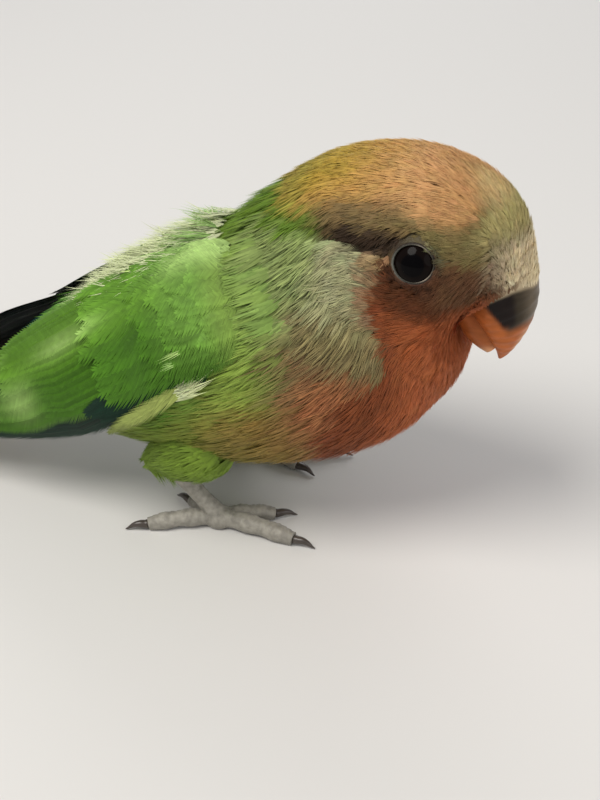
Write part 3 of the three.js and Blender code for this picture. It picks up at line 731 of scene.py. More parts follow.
def thigh_point(u, angle, side):
    """A point of a thigh's tube."""
    s = between(THIGH, u)
    d = unit((between(THIGH, u + 0.01) - between(THIGH, u - 0.01))[..., :3])
    across = unit(np.cross(d, [0, 0, 1.0]))
    upward = np.cross(d, across)
    p = s[..., :3] + s[..., 3:] * (np.cos(angle)[..., None] * across + np.sin(angle)[..., None] * upward)
    return p * [1, side, 1]


def under_body(points, depth):
    """Whether points lie deeper than this inside the body."""
    batch = 500
    surface = body.grid[::8, ::12].reshape(-1, 12)
    result = np.zeros(len(points), bool)
    for k in range(0, len(points), batch):
        gap = points[k:k + batch, None] - surface[None, :, :3]
        near = np.argmin((gap**2).sum(-1), axis=1)
        rows = np.arange(len(near))
        result[k:k + batch] = (gap[rows, near] * surface[near, 3:6]).sum(-1) < -depth
    return result


# Skin: closed surfaces under the feathers of torso, neck, head and thighs, in one piece


def skin_depth(u):
    """How far the skin lies from the outline, outward."""
    return mix(mix(-2.2, -0.9, rise(u, 6.5, 10)), -0.5, rise(u, 11, 14))


def climb_of(angle):
    """Degrees above the widest line, on either side."""
    a = np.degrees(np.mod(angle + math.pi / 2, 2 * math.pi)) - 90
    return np.where(a > 90, 180 - a, a)


def nape_hollow(u, angle):
    """Where the line of the back dips between the head and the down of the mantle."""
    return rise(u, 4.6, 5.2) * rise(u, 6.8, 6.0) * rise(climb_of(angle), 50, 72)


def coat_uv(u, angle):
    """Where a place of the body lies on the unwrap."""
    return np.stack([0.05 + 0.9 * u / FACE_END, np.mod(angle / (2 * math.pi), 1)], -1)


def make_skin():
    first, last, step, sides = -0.3, FACE_END - 0.15, 0.1, 200
    u, a = np.arange(first, last, step), circle(sides)
    U, A = grid(u, a)
    vertices, faces = loft(body.at(U, A, skin_depth(U) - 0.9 * nape_hollow(U, A)))
    tint = with_caps(markings(U, A) * mix(0.7, 0.9, rise(U, 10, 13))[..., None])
    uv = np.vstack([coat_uv(U, A).reshape(-1, 2), coat_uv(u[[0, -1]], np.array([3.1, 3.1]))])
    for side in (LEFT, RIGHT):
        U, A = grid(np.linspace(0.1, 3.9, 50), a[::5])
        rings = thigh_point(U, A, side)
        if side == RIGHT:
            rings = rings[:, ::-1]
        middle = rings.mean(1, keepdims=True)
        more, more_faces = loft(middle + (rings - middle) * 0.8)
        faces += [f + len(vertices) for f in more_faces]
        vertices = np.vstack([vertices, more])
        tint = np.vstack([tint, np.tile(THIGH_GREEN * 0.6, (len(more), 1))])
        uv = np.vstack([uv, [0.3, 0.8] + 0.02 * np.random.default_rng(3).random((len(more), 2))])
    obj = make_object("skin", vertices, faces)
    paint(obj, tint)
    unwrap(obj, uv)
    finish_piece(obj, skin_material, "body_feathers", "torso", "neck", "head", "thigh_left", "thigh_right")


make_skin()

# Coat of the body
rng = np.random.default_rng(11)

# A wing's lower and upper edge at the sleeve's stations, in degrees above the widest line
WING_LOW = np.array([10, -12, -24, -26, -8, 8, 17, 22.0])
WING_HIGH = np.array([30, 48, 56, 60, 64, 66, 64, 58.0])
WING_RAISED = {RIGHT: 0, LEFT: 11}
WING_CLEAR = 0.75


def wing_edge(edge, u):
    return np.interp(u, np.arange(len(edge)), edge)


def under_wing(u, angle):
    """Whether a place of the body lies well under a wing."""
    us = u + 1
    climb = climb_of(angle)
    raised = np.where(np.cos(angle) > 0, WING_RAISED[LEFT] * (1 - rise(us, 1, 6)), 0)
    low = wing_edge(WING_LOW, us) + raised
    return (us < 6.3) & (climb > low + 9) & (climb < wing_edge(WING_HIGH, us) - 10)


STATIONS = [0, 2, 5, 7, 9, 12, 14, 16]  # where spacing, length and width of the feathers are given


def spacing(u, angle):
    return np.interp(u, STATIONS, [1.8, 1.9, 1.6, 1.2, 0.96, 0.76, 0.56, 0.46])


def allowed(u, angle):
    """Where the body carries feathers: beside the wings, and up to the eyelids."""
    points = body.at(u, angle)
    hx, _ = unpitched(points[..., 0], points[..., 2])
    return ~under_wing(u, angle) & (eye_gap(points) >= mix(3.1, 3.8, rise(hx, -1.5, -3.0)))


root_u, root_a = spread(body, rng, spacing, allowed, u_low=0.1, u_high=FACE_END - 0.05)


def feather_colours(coat, u, angle):
    """Root, middle and tip colours of feathers at these places: the smoothest on the face."""
    n = len(u)
    face = rise(u, 10, 13)[:, None]
    base = markings(u, angle)
    base = base * (1 + np.clip(coat.stray(1, n, 1), -3, 3) * mix(0.06, 0.035, face))
    base = base * coat.vary(0.022, n, 3)
    return base * mix(0.74, 0.9, face), base * 0.95, base * 1.06


def lie_of(u, a, coat, stray):
    """Directions of the feathers at places of the body: from the bill to the tail, round the eyes."""
    v = body.read(u, a, slice(0, 12))
    direction = eye_flow(v[:, 0:3], -unit(v[:, 6:9]))
    return direction + np.cross(v[:, 3:6], direction) * coat.stray(stray, len(u), 1)


def relief(u, angle):
    """How far feathers stand out or lie in: a furrow behind the eye, under an overhanging brow."""
    hx, hz, y = beside_eye(u, angle)
    brow = brow_height(hx)
    along = rise(hx, -22, -12) * rise(hx, 1.5, -1.5) * rise(y, 7, 10)
    over, furrow, below = band(hz, brow + 3.4, 1.6), band(hz, brow + 0.4, 1.2), band(hz, brow - 3, 1.5)
    return along * (0.5 * over - 0.6 * furrow + 0.15 * below)


def body_coat(name, slot, seed, side, select, stray=0.08, **options):
    """One piece of the body's coat, from the roots that select names."""
    coat = Coat(name, slot, seed, side, mirrored=False)
    u, a = root_u[select], root_a[select]
    n = len(u)
    direction = lie_of(u, a, coat, stray)
    length = np.interp(u, STATIONS, [9, 9, 8.2, 6.6, 5.2, 4.0, 2.7, 1.7]) * coat.vary(0.1, n)
    width = np.interp(u, STATIONS, [5, 5, 4.4, 3.0, 2.3, 1.8, 1.25, 0.9]) * coat.vary(0.1, n)
    length = length * mix(0.4, 1.0, rise(eye_gap(body.at(u, a)), 3.4, 8))
    over = over_wing_edge(u, a)
    low = skin_depth(u) * 0.75 + over * 1.2 + relief(u, a) - 0.7 * nape_hollow(u, a)
    uneven = np.interp(u, [0, 4, 5, 8, 12], [1.3, 1.3, 0.9, 0.8, 0.5])
    high = mix(0.35, 0.1, rise(u, 7, 11)) + coat.stray(0.1, n) * uneven
    high = high + over * 2.2 + over_wing_top(u, a) * 1.2 + relief(u, a) - 1.3 * nape_hollow(u, a)
    place = drape(body, u, a, direction, length, width, (low, high), curl=coat.stray(0.3, n))
    colours = feather_colours(coat, u, a)
    coat.add_strands(place, colours, coat_uv(u, a), barb_tint=streaks(u, a), **options)
    coat.build(feather_material)


def streaks(u, angle):
    """How much neighbouring strands differ: most on the cheeks, which are finely streaked."""
    hx, hz, _ = beside_eye(u, angle)
    least = mix(0.09, 0.05, rise(u, 10, 13))
    return mix(least, 0.2, rise(u, 6.0, 7.5) * rise(hx, 1, -4) * rise(hz, 1, -3))


def over_wing_edge(u, angle):
    """How much a feather has to stand out to lie over the front edge of the wing."""
    climb = climb_of(angle)
    return rise(u, 5.45, 5.95) * rise(u, 7.4, 6.5) * rise(climb, 6, 18) * rise(climb, 66, 50)


def over_wing_top(u, angle):
    """The same over the wings' upper edges."""
    climb = climb_of(angle)
    edge = wing_edge(WING_HIGH, u + 1)
    far_front = (np.cos(angle) > 0) * rise(u, 3.8, 4.8)
    along = rise(climb, edge - 14, edge - 6) * rise(climb, edge + 14, edge + 4) * rise(u, 6.2, 5.4)
    return along * (1 - far_front)


# Name, slot, seed, first and last station, and what sets the feathers apart
ZONES = [
    ("coat_face", "face_feathers", 21, 12.6, FACE_END, dict(strands=13, steps=1, blade=0.2)),
    ("coat_head", "face_feathers", 31, 9.6, 12.6, dict(strands=13, blade=0.2)),
    ("coat_neck", "body_feathers", 41, 5.6, 9.6, dict(strands=13, blade=0.2)),
    ("coat_body", "body_feathers", 51, 0, 5.6,
     dict(strands=15, steps=3, blade=0.17, wild=0.12, curl=0.08, stray=0.12)),
]
for side in (LEFT, RIGHT):
    half = (np.cos(root_a) < 0) == (side == RIGHT)
    for name, slot, seed, first, last, options in ZONES:
        body_coat(name, slot, seed, side, half & (root_u >= first) & (root_u < last), **options)


def thigh_coat(side):
    coat = Coat("coat_thigh", "body_feathers", seed=57, side=side)
    sheet = Sheet(lambda u, a: thigh_point(u, a, side), first=-0.4, last=4, step=0.05, turns=180)
    u, a = spread(sheet, coat.rng, even(1.35), even(True), u_low=0.0, u_high=3.9)
    keep = ~under_body(sheet.at(u, a), depth=1.2)
    u, a = u[keep], a[keep]
    n = len(u)
    along = -unit(sheet.read(u, a, slice(6, 9)))
    if side == RIGHT:
        sheet.grid[..., 3:6] *= -1
    direction = mix(along + [0, 0, -1.0], np.array([-1.0, 0, -0.45]), rise(u, 0.6, 2.0)[:, None])
    length = np.interp(u, [0, 1, 3], [4.2, 5.5, 7.0]) * coat.vary(0.1, n)
    width = np.interp(u, [0, 1, 3], [2.2, 3, 4])
    lifts = (np.full(n, -0.8), 0.4 + coat.stray(0.15, n))
    place = drape(sheet, u, a, direction, length, width, lifts)
    base = THIGH_GREEN * coat.vary(0.08, n, 1)
    uv = [0.3, 0.8] + 0.1 * np.stack([u, a], -1) / 6
    coat.add_strands(place, (base * 0.72, base * 0.95, base * 1.08), uv, strands=13, blade=0.2, barb_tint=0.1)
    coat.build(feather_material)


def cuff_coat(side):
    """Longer feathers that hang from the thigh over the heel and the upper shank."""
    coat = Coat("coat_cuff", "body_feathers", seed=59, side=side)
    heel = np.array([FOOT[0] + HEEL[0], side * (FOOT[1] + HEEL[1]), HEEL[2]])
    axis = np.array([0.42, 0, -0.9])
    across = np.array([0, 1.0, 0])
    ahead = np.array([0.9, 0, 0.42])
    for start, reach, gap, count in ((-2.8, 6.6, 3.0, 20), (-1.6, 6.2, 2.5, 17)):
        turn = circle(count) + coat.stray(0.06, count)
        length = reach * coat.vary(0.1, count)

        def place(s, c, lift):
            a = pad(turn) + c * 0.34
            r = gap * mix(0.5, 1.0, rise(s, 0, 0.35)) - 0.75 * rise(s, 0.2, 1.1) + lift
            outward = np.cos(a)[..., None] * ahead + np.sin(a)[..., None] * across
            return (start + s * pad(length))[..., None] * axis + r[..., None] * outward + heel

        base = THIGH_GREEN * coat.vary(0.06, count, 1)
        uv = np.stack([0.32 + 0.02 * np.cos(turn), 0.9 + 0.02 * np.sin(turn)], -1)
        coat.add_strands(place, (base * 0.75, base * 0.95, base * 1.1), uv, strands=13, steps=3, blade=0.16,
                         wild=0.15, curl=0.1, loose=0.15, barb_tint=0.1)
    coat.build(feather_material)


for side in (LEFT, RIGHT):
    thigh_coat(side)
    cuff_coat(side)


def down_coat(side):
    """Loose down on the middle of the back, between the wings, with a green tuft at its front end."""
    coat = Coat("coat_down", "body_feathers", seed=91, side=side, mirrored=False)

    def on_back(u, a):
        edge = 60 + 5 * (u < 3.2) + 7 * (side == RIGHT)
        return (climb_of(a) > edge) & ((np.cos(a) > 0) == (side == LEFT))

    layers = [(2.4, 5.3, 1.5, 2.2, 7.5, DOWN), (4.3, 5.2, 1.7, 3.4, 6.5, DOWN_GREEN)]
    for start, end, gap, stand, reach, colour in layers:
        u, a = spread(body, coat.rng, even(gap), on_back, start, end)
        n = len(u)
        direction = lie_of(u, a, coat, 0.35)
        fade = rise(u, start, start + 0.8) * mix(0.6, 1, rise(climb_of(a), 60, 76))
        lifts = (np.full(n, -1.0), fade * stand * coat.vary(0.25, n))
        length = reach * coat.vary(0.15, n)
        place = drape(body, u, a, direction, length, np.full(n, 5.0), lifts, curl=coat.stray(1.0, n))
        base = colour * coat.vary(0.06, n, 1)
        coat.add_strands(place, (base * 0.8, base, base), coat_uv(u, a), strands=11, steps=3, blade=0.06,
                         thick=0.04, wild=0.3, curl=0.35, loose=0.7, short=0.4, barb_tint=0.1)
    coat.build(feather_material)


for side in (LEFT, RIGHT):
    down_coat(side)

# Wings


def arm_dome(u, height):
    """Share of the bulge that the bend of the wing makes at its front end."""
    s, t = np.clip((u - 4.6) / 2.1, 0, 1), np.clip(height, 0, 1)
    a = np.sin(math.pi * mix(0.04, 0.93, s)) * np.sin(math.pi * mix(0.05, 0.95, t))
    return np.sqrt(np.clip(a, 0, 1)) * rise(u, 4.4, 5.0)


def wing_point(side, u, height, across, lift):
    """A point of a wing. height is 0 at its lower edge and 1 at its upper one, across and lift are in mm."""
    climb = mix(wing_edge(WING_LOW, u), wing_edge(WING_HIGH, u), height)
    climb = climb + WING_RAISED[side] * (1 - rise(u, 1, 6)) * (1 - 0.5 * height)
    angle = np.radians(climb) + across / between(SLEEVE, u)[..., 4]
    angle = np.where(side == LEFT, angle, math.pi - angle)
    return sleeve.at(u, angle, WING_CLEAR + lift)


# How many feathers, station and height of the lowest and the uppermost one's root and then of their
# tips, width, lift, and how much deeper the roots lie
TIERS = {
    "primary": (10, [(4.8, 0.1), (5.2, 0.4)], [(0.0, 0.06), (1.0, 0.8)], 7, 0.1, 0.3),
    "secondary": (12, [(5.6, 0.24), (5.2, 1)], [(1.7, 0.36), (1.6, 0.94)], 8.4, 0.75, 0.3),
    "tertial": (3, [(3.7, 0.42), (3.5, 0.62)], [(1.3, 0.17), (1.5, 0.42)], 6.5, 0.85, 0.3),
    "primary_covert": (6, [(6.0, 0.0), (6.0, 0.1)], [(3.9, 0.03), (3.4, 0.13)], 4.4, 0.9, 0.3),
    "greater": (13, [(6.0, 0.14), (6.0, 1)], [(4.0, 0.2), (3.5, 1)], 6.2, 1.3, 0.3),
    "median": (15, [(6.3, 0.08), (6.3, 0.97)], [(5.15, 0.15), (4.5, 1)], 5.2, 1.6, 0.5),
    "lesser_a": (18, [(6.5, 0.05), (6.5, 0.96)], [(5.6, 0.08), (5.1, 0.98)], 4.3, 1.8, 0.8),
    "lesser_b": (20, [(6.65, 0.04), (6.7, 0.95)], [(5.9, 0.05), (5.55, 0.97)], 3.8, 1.9, 1.3),
    "lesser_c": (21, [(6.8, 0.04), (6.85, 0.95)], [(6.15, 0.04), (5.95, 0.97)], 3.5, 1.8, 1.8),
}
FAR_WING = {
    "primary": (10, [(4.8, 0.1), (5.2, 0.7)], [(0.0, 0.06), (0.3, 1.0)], 7, 0.1, 0.3),
    "secondary": (12, [(5.6, 0.24), (5.2, 1)], [(2.2, 0.4), (1.9, 1)], 8.4, 0.75, 0.3),
}
WAVE, WIND = 0.09, -0.3  # how uneven the tips are, and how far vanes tilt


def wing_rows(coat, side, count, root, tip, width, lift, sunk, length_jitter=0.0):
    """A row of feathers along the wing: place as for Coat.add, and where(s, c), its station and height."""
    k = np.linspace(0, 1, count)
    (u0, h0), (u1, h1) = ([mix(a, b, k) for a, b in zip(*end)] for end in (root, tip))
    u1 = u1 + WAVE * np.sin(2.4 * np.arange(count)) + coat.stray(length_jitter, count)
    if side == RIGHT:
        h0, h1 = h0 + 0.07 * k * (u0 > 5.9), h1 + 0.07 * k * (u0 > 5.9)

    def middle_line(s):
        return mix(pad(u0), pad(u1), s), mix(pad(h0), pad(h1), s)

    def where(s, c):
        u, height = middle_line(s)
        span = np.radians(wing_edge(WING_HIGH - WING_LOW, u))
        return u, height + c * width / 2 / between(SLEEVE, u)[..., 4] / span

    def place(s, c, rising):
        u, height = middle_line(s)
        settled = mix(0.45, 1, rise(height, -0.02, 0.2) * rise(height, 1.04, 0.72))
        up = mix(lift - sunk, lift, rise(s, 0, 0.75)) + WIND * c * 0.6 + 1.6 * arm_dome(u, height)
        up = up * settled
        if side == LEFT:
            up = up - 2.4 * rise(u, 4.6, 5.3) * rise(height, 0.5, 0.9)
            up = up + 2.4 * rise(u, 2.3, 0.9) * rise(height, 0.4, 0.9)
            height = height - 0.24 * rise(u, 4.4, 5.3) * rise(height, 0.5, 1.0)
        return wing_point(side, u, height, c * width / 2, up + rising)

    uv = np.stack([0.04 + 0.9 * u0 / 9, 0.04 + 0.9 * h0], -1)
    return place, uv, where


LEVEL = 0.2  # brightness that a painted vane starts with


def shades(coat, count, colour=LEVEL, variety=0.1):
    """Feathers of one colour, no two quite the same."""
    bright = 1 + np.clip(coat.stray(variety, count, 1), -0.25, 0.3)
    return plain(colour, (count,)) * bright * coat.vary(0.04, count, 3)


BLACKISH = rgb(32, 36, 32)
BLUE_GREEN = rgb(12, 44, 30)
DARK_GREEN = rgb(34, 62, 34)
SLATE = rgb(66, 70, 64)
PALE_EDGE = rgb(140, 142, 130)
WING = rgb(64, 108, 20)
WING_UPPER = rgb(90, 136, 34)
WING_FRONT = rgb(108, 150, 60)
WING_PALE = rgb(180, 214, 126)
WING_YELLOW = rgb(140, 172, 76)
PALE_GREEN = rgb(150, 164, 86)


def wing_colour(u, height):
    """The wing's greens: deep below, paler at the front, with painted highlights towards the back's middle
    and in a streak, and a pale streak further back.
    """
    return layered(
        plain(WING, np.shape(u)),
        (WING_UPPER, rise(height, 0.48, 0.7)),
        (WING_FRONT, 0.9 * rise(u + 0.8 * height, 5.0, 6.3) * rise(height, -0.2, 0.3)),
        (WING_YELLOW, 0.9 * rise(u, 5.8, 6.5)),
        # painted highlights: paler near the upper edge towards the back's middle, and in a streak further
        # back
        (WING_PALE, 0.85 * rise(u, 4.8, 5.7) * rise(height, 0.66, 1.0)),
        (WING_PALE, 0.6 * band(u, 3.2, 0.6) * band(height, 0.74, 0.07)),
        (WING_PALE, 0.5 * band(u, 2.0, 0.35) * band(height, 0.42, 0.16)),
    )


def covert_paint(where):
    """Coverts take the wing's colour where they lie, with a darker shaft and paler edges."""
    def paint_barb(tint, s, c):
        u, height = where(s, c)
        rim = 1 - 0.18 * band(c, 0, 0.06) + 0.16 * rise(np.maximum(np.abs(c), s - 0.05), 0.6, 1.0)
        return wing_colour(u - 0.25, height) * (tint.mean(-1) / LEVEL * rim)[..., None]

    return paint_barb


def flight_paint(name, side, where):
    """The outer web, which is the lower one, differs from the inner one, and both have a narrow edge."""
    def paint_barb(tint, s, c):
        u, height = where(s, c)
        level = tint.mean(-1) / LEVEL * (1 - 0.25 * band(c, 0, 0.05))
        web = rise(c, -0.1, 0.3)
        edge = 0.5 * rise(np.abs(c), 0.8, 1.0) + 0.5 * rise(s, 0.93, 1.0)
        far = side == LEFT
        if name in ("secondary", "tertial"):
            dark = blended(DARK_GREEN, SLATE, edge)
            shade = layered(wing_colour(u, height), (BLACKISH, 0.3 * web), (WING_PALE, 0.3 * edge),
                            (dark, far * rise(height, 0.6, 0.75)))
        elif name == "primary":
            rim = rise(c, 0.7, 0.85) * rise(height, 0.75, 0.9) * rise(s, 0.3, 0.6)
            shade = layered(BLUE_GREEN, (BLACKISH, web), (SLATE, 0.3 * edge), (PALE_EDGE, far * rim))
        else:
            shade = blended(BLUE_GREEN, BLACKISH, 0.25 * web)
        return shade * level[..., None]

    return paint_barb


def wing_flight(side):
    coat = Coat("flight_feathers", "flight_feathers", seed=61, side=side)
    for name in ("primary", "secondary", "tertial", "primary_covert"):
        spec = FAR_WING.get(name, TIERS[name]) if side == LEFT else TIERS[name]
        place, uv, where = wing_rows(coat, side, *spec)
        base = shades(coat, len(uv), variety=0.06)
        coat.add(place, (base * 0.9, base, base), uv, barbs=64, sweep=0.14, bend=1.15, blade=1.5, tip=0.85,
                 thick=0.025, camber=0.35, ragged=0.01, wild=0.002, first=0.0, barb_tint=0.05,
                 shape=lambda s: outline(s, shoulder=0.5, base=0.62, power=2.6),
                 paint_barb=flight_paint(name, side, where))
    coat.build(vane_material, f"wing_{SIDE_NAME[side]}")


def wing_coverts(side):
    coat = Coat("wing_coverts", "body_feathers", seed=71, side=side)
    for name in ("greater", "median", "lesser_a", "lesser_b", "lesser_c"):
        place, uv, where = wing_rows(coat, side, *TIERS[name], length_jitter=0.1)
        base = shades(coat, len(uv), variety=0.08)
        coat.add(place, (base * 0.7, base * 0.95, base * 1.08), uv, barbs=36 if name == "greater" else 30,
                 sweep=0.26, bend=1.15, blade=1.5, tip=0.45, thick=0.03, camber=0.35, ragged=0.06,
                 wild=0.014, barb_tint=0.08, paint_barb=covert_paint(where))
    coat.build(feather_material)


def pale_underwing(side):
    """A pale feather with a downy front end that shows along the wing's lower edge, and two pale marks."""
    coat = Coat("underwing", "body_feathers", seed=76, side=side)
    pale = (2, [(5.55, -0.02), (5.4, 0.02)], [(3.9, -0.03), (3.6, -0.02)], 3.0, 2.6, 0.3)
    place, uv, _ = wing_rows(coat, side, *pale)
    colours = [np.tile(PALE_GREEN * k, (2, 1)) for k in (1.1, 0.95, 0.5)]
    coat.add(place, colours, uv, barbs=30, blade=1.5, tip=0.5, thick=0.03, ragged=0.06, wild=0.015,
             barb_tint=0.07)
    downy = (9, [(5.15, -0.05), (5.2, 0.02)], [(5.8, -0.08), (5.65, 0.0)], 1.8, 2.9, 0.6)
    marks = (2, [(5.9, 0.22), (5.7, 0.16)], [(5.4, 0.24), (5.2, 0.19)], 1.0, 2.3, 0.6)
    for spec, colour, options in (
        (downy, DOWN, dict(blade=0.12, wild=0.4, curl=0.3)),
        (marks, WING_PALE, dict(blade=0.1, wild=0.3)),
    ):
        place, uv, _ = wing_rows(coat, side, *spec, length_jitter=0.1)
        base = shades(coat, len(uv), colour, 0.05)
        colours = (base * 0.85, base, base * 1.05)
        coat.add_strands(place, colours, uv, strands=11, steps=3, loose=0.25, **options)
    coat.build(feather_material)


for side in (LEFT, RIGHT):
    wing_flight(side)
    wing_coverts(side)
    pale_underwing(side)

# Tail
TAIL_ROOT, TAIL_TIP = (-38, 28), (-76.5, 5.2)
TAIL_PAIRS, TAIL_WIDTH, TAIL_FAN, TAIL_STEP, TAIL_SHORTER = 6, 7.2, 1.35, 0.45, 1.5


def tail_point(s, y, lift):
    """A point of the tail: a share of its length, how far aside, and how far above its middle line."""
    sag = 1.6 * np.sin(math.pi * np.clip(s, 0, 1))
    x = mix(TAIL_ROOT[0], TAIL_TIP[0], s)
    z = mix(TAIL_ROOT[1], TAIL_TIP[1], s) - sag + lift
    return np.stack(np.broadcast_arrays(x, y, z), -1)


ORANGE_BAR = rgb(214, 84, 44)
TAIL_GREEN = rgb(74, 134, 58)


def tail_vanes(coat, side):
    """The vanes of one side, from the middle outward, each a little shorter and lower."""
    i = np.arange(TAIL_PAIRS)
    reach = 1 - (i * i * 0.35 * TAIL_SHORTER) / 40
    tip = side * (1.1 + TAIL_FAN * i)
    root = side * (0.8 + 0.5 * i)
    drop = -TAIL_STEP * i - (0.22 if side == LEFT else 0)

    def place(s, c, lift):
        y = mix(pad(root), pad(tip), s) + c * TAIL_WIDTH / 2
        return tail_point(s * pad(reach), y, pad(drop) + lift - side * 0.1 * c)

    def paint_barb(tint, s, c):
        outer = pad(i) > 0
        bar = rise(s, 0.55, 0.6) * rise(s, 0.8, 0.76) * outer
        dark = rise(s, 0.77, 0.8) * rise(s, 0.9, 0.87) * outer
        shade = layered(plain(TAIL_GREEN, s.shape), (ORANGE_BAR, bar), (BLACKISH, dark * 0.9))
        return shade * (tint.mean(-1, keepdims=True) / LEVEL)

    base = shades(coat, TAIL_PAIRS, variety=0.06)
    uv = np.stack([0.3 + 0.05 * i, 0.3 + 0.3 * (side > 0) + 0 * i], -1)
    coat.add(place, (base, base, base), uv, barbs=40, steps=3, sweep=0.12, bend=1.15, blade=1.3, tip=0.8,
             thick=0.05, camber=0.25, ragged=0.015, wild=0.004, first=0.0, barb_tint=0.1,
             shape=lambda s: outline(s, shoulder=0.6, base=0.62, power=2.6), paint_barb=paint_barb)


def tail_cover(coat, count, lift, start, end, arch, colour):
    """A row of small feathers over the tail's root, or under it where lift is negative."""
    k = np.arange(count) - (count - 1) / 2
    over = lift[1] > 0

    def place(s, c, rising):
        along = mix(start, end - 0.008 * pad(k) ** 2, s)
        y = mix(pad(k) * 1.5, pad(k) * 1.3, s) + c * 2.9
        return tail_point(along, y, mix(*lift, s) - arch * pad(k) ** 2 + (1 if over else -1) * rising)

    base = shades(coat, count, colour)
    uv = np.stack([0.1 + 0.02 * k, 0.5 + 0 * k], -1)
    coat.mirrored = over
    coat.add(place, (base * 0.6, base, base), uv, barbs=14, camber=0.4)


def make_tail():
    coat = Coat("tail_feathers", "flight_feathers", seed=81)
    coat.mirrored = True
    for side in (LEFT, RIGHT):
        tail_vanes(coat, side)
    tail_cover(coat, 7, lift=(3.0, 0.8), start=0.05, end=0.52, arch=0.1, colour=RUMP_BLUE)
    tail_cover(coat, 6, lift=(3.3, 1.5), start=0.04, end=0.37, arch=0.16, colour=RUMP_BLUE)
    tail_cover(coat, 7, lift=(-8.6, -2.0), start=0.1, end=0.6, arch=-0.1, colour=BELLY)
    coat.build(vane_material, "tail")


make_tail()

# Bill: sections like those of the head
BEAK_UPPER = np.array([
    (14.2, 1.6, 7.6, -9.4, 5.3, 0.5), (15.9, -1.4, 9.2, -10.2, 5.2, 0.47),
    (16.8, -4.0, 10.6, -11.0, 4.8, 0.45), (17.2, -7.4, 11.8, -11.8, 4.1, 0.44),
    (17.0, -10.4, 12.8, -12.7, 3.2, 0.44), (16.5, -12.8, 13.7, -13.7, 2.1, 0.45),
    (15.9, -14.6, 14.3, -14.8, 1.0, 0.5), (15.3, -15.7, 14.8, -15.7, 0.3, 0.5),
])
BEAK_LOWER = np.array([
    (9.4, -7.4, 6.6, -12.2, 4.3, 0.55), (11.8, -8.4, 8.6, -14.2, 4.1, 0.55),
    (13.5, -10.4, 10.9, -15.4, 3.3, 0.6), (14.4, -12.8, 12.7, -15.6, 2.2, 0.6),
])
# the bill's orange is a little darker than in full light: partly painted shade
BILL_ORANGE = rgb(180, 100, 50)
BILL_PALE_HIGHLIGHT = rgb(214, 156, 112)
BILL_DARK = rgb(24, 16, 14)
BILL_OLIVE = rgb(58, 50, 38)
BILL_GREY = rgb(104, 92, 76)


def ridge_fold(angle):
    """Degrees from the ridge of the bill, on either side."""
    return np.degrees(np.abs(np.mod(angle + math.pi / 2, 2 * math.pi) - math.pi))


def cere_edge(fold):
    """Station of the bill down to which feathers cover it."""
    return np.interp(fold, [0, 14, 28, 52, 81, 103, 125], [0.85, 0.8, 0.66, 0.46, 0.3, 0.22, 0.0])


def bill_rings(table, rings, sides):
    """Stations, angles, x, y and z of the points of one half of the bill."""
    U, A = grid(np.linspace(0, len(table) - 1, rings), circle(sides))
    return U, A, *np.moveaxis(straight_point(U, A, table), -1, 0)


def make_bill():
    U, A, x, y, z = bill_rings(BEAK_UPPER, rings=110, sides=96)
    fold = ridge_fold(A)
    growth = 0.035 * np.sin(U * 9 + 1.2 * np.sin(A * 2)) * rise(U, 0.3, 1.2) * rise(U, 6.6, 5)
    scale = 1 + growth / 4
    edge = cere_edge(fold)
    side_dark = rise(fold, 46, 60) * rise(fold, 112 - 11 * U, 100 - 11 * U) * rise(U, 2.9, 2.1)
    tint = layered(
        plain(BILL_ORANGE, U.shape),
        (BILL_ORANGE * 0.55, 0.6 * rise(U, 1.4, 0) + 0.35 * rise(U, 5, 7)),
        # painted reflection: paler along the ridge towards the tip
        (BILL_PALE_HIGHLIGHT, 0.6 * rise(fold, 42, 10) * rise(U, 2.8, 3.6) * rise(U, 6.5, 4.5)),
        (blended(BILL_OLIVE, BILL_GREY, rise(fold, 48, 14)), rise(fold, 80, 62) * rise(U, 3.3, 2.4)),
        (BILL_DARK, side_dark),
        (mix(CREAM, LORES, 0.5), rise(U, edge + 0.15, edge - 0.1)),
    )
    lofted("bill_upper", face_point(x + growth, y * scale, z), tint, bill_material, "bill_horn", "beak_upper")
    U, A, x, y, z = bill_rings(BEAK_LOWER, rings=50, sides=64)
    # the lower mandible's tip: partly pale horn, partly painted highlight
    pale = rise(U, 1.8, 2.8) * rise(-z, 12, 14.5)
    tint = blended(plain(BILL_ORANGE * 0.75, U.shape), BILL_PALE_HIGHLIGHT, pale)
    lofted("bill_lower", face_point(x, y, z), tint, bill_material, "bill_horn", "beak_lower")


make_bill()


def bill_point(u, angle):
    return face_point(*np.moveaxis(straight_point(u, angle, BEAK_UPPER), -1, 0))


def cere_coat():
    """The short feathers that cover the base of the bill."""
    coat = Coat("coat_cere", "face_feathers", seed=23)
    sheet = Sheet(bill_point, first=-1.0, last=2.0, step=0.02, turns=360)
    covered = lambda u, a: (u < cere_edge(ridge_fold(a))) & (ridge_fold(a) < 125)
    u, a = spread(sheet, coat.rng, even(0.4), covered, u_low=-0.6, u_high=1.0)
    n = len(u)
    v = sheet.read(u, a, slice(0, 12))
    direction = -unit(v[:, 6:9])
    direction = direction + np.cross(v[:, 3:6], direction) * coat.stray(0.12, n, 1)
    lifts = (np.full(n, -0.12), 0.22 + coat.stray(0.04, n))
    length = 1.5 * coat.vary(0.1, n)
    place = drape(sheet, u, a, direction, length, np.full(n, 0.85), lifts, curl=coat.stray(0.1, n))
    hx, hz = unpitched(v[:, 0], v[:, 2])
    base = blended(plain(LORES, (n,)), CREAM, cream_share(hx, hz)) * coat.vary(0.04, n, 1)
    uv = np.stack([0.96 + 0.03 * u, np.mod(a / (2 * math.pi), 1)], -1)
    colours = (base * 0.85, base * 0.95, base * 1.05)
    coat.add_strands(place, colours, uv, strands=11, steps=1, blade=0.2, barb_tint=0.05)
    coat.build(feather_material)


cere_coat()


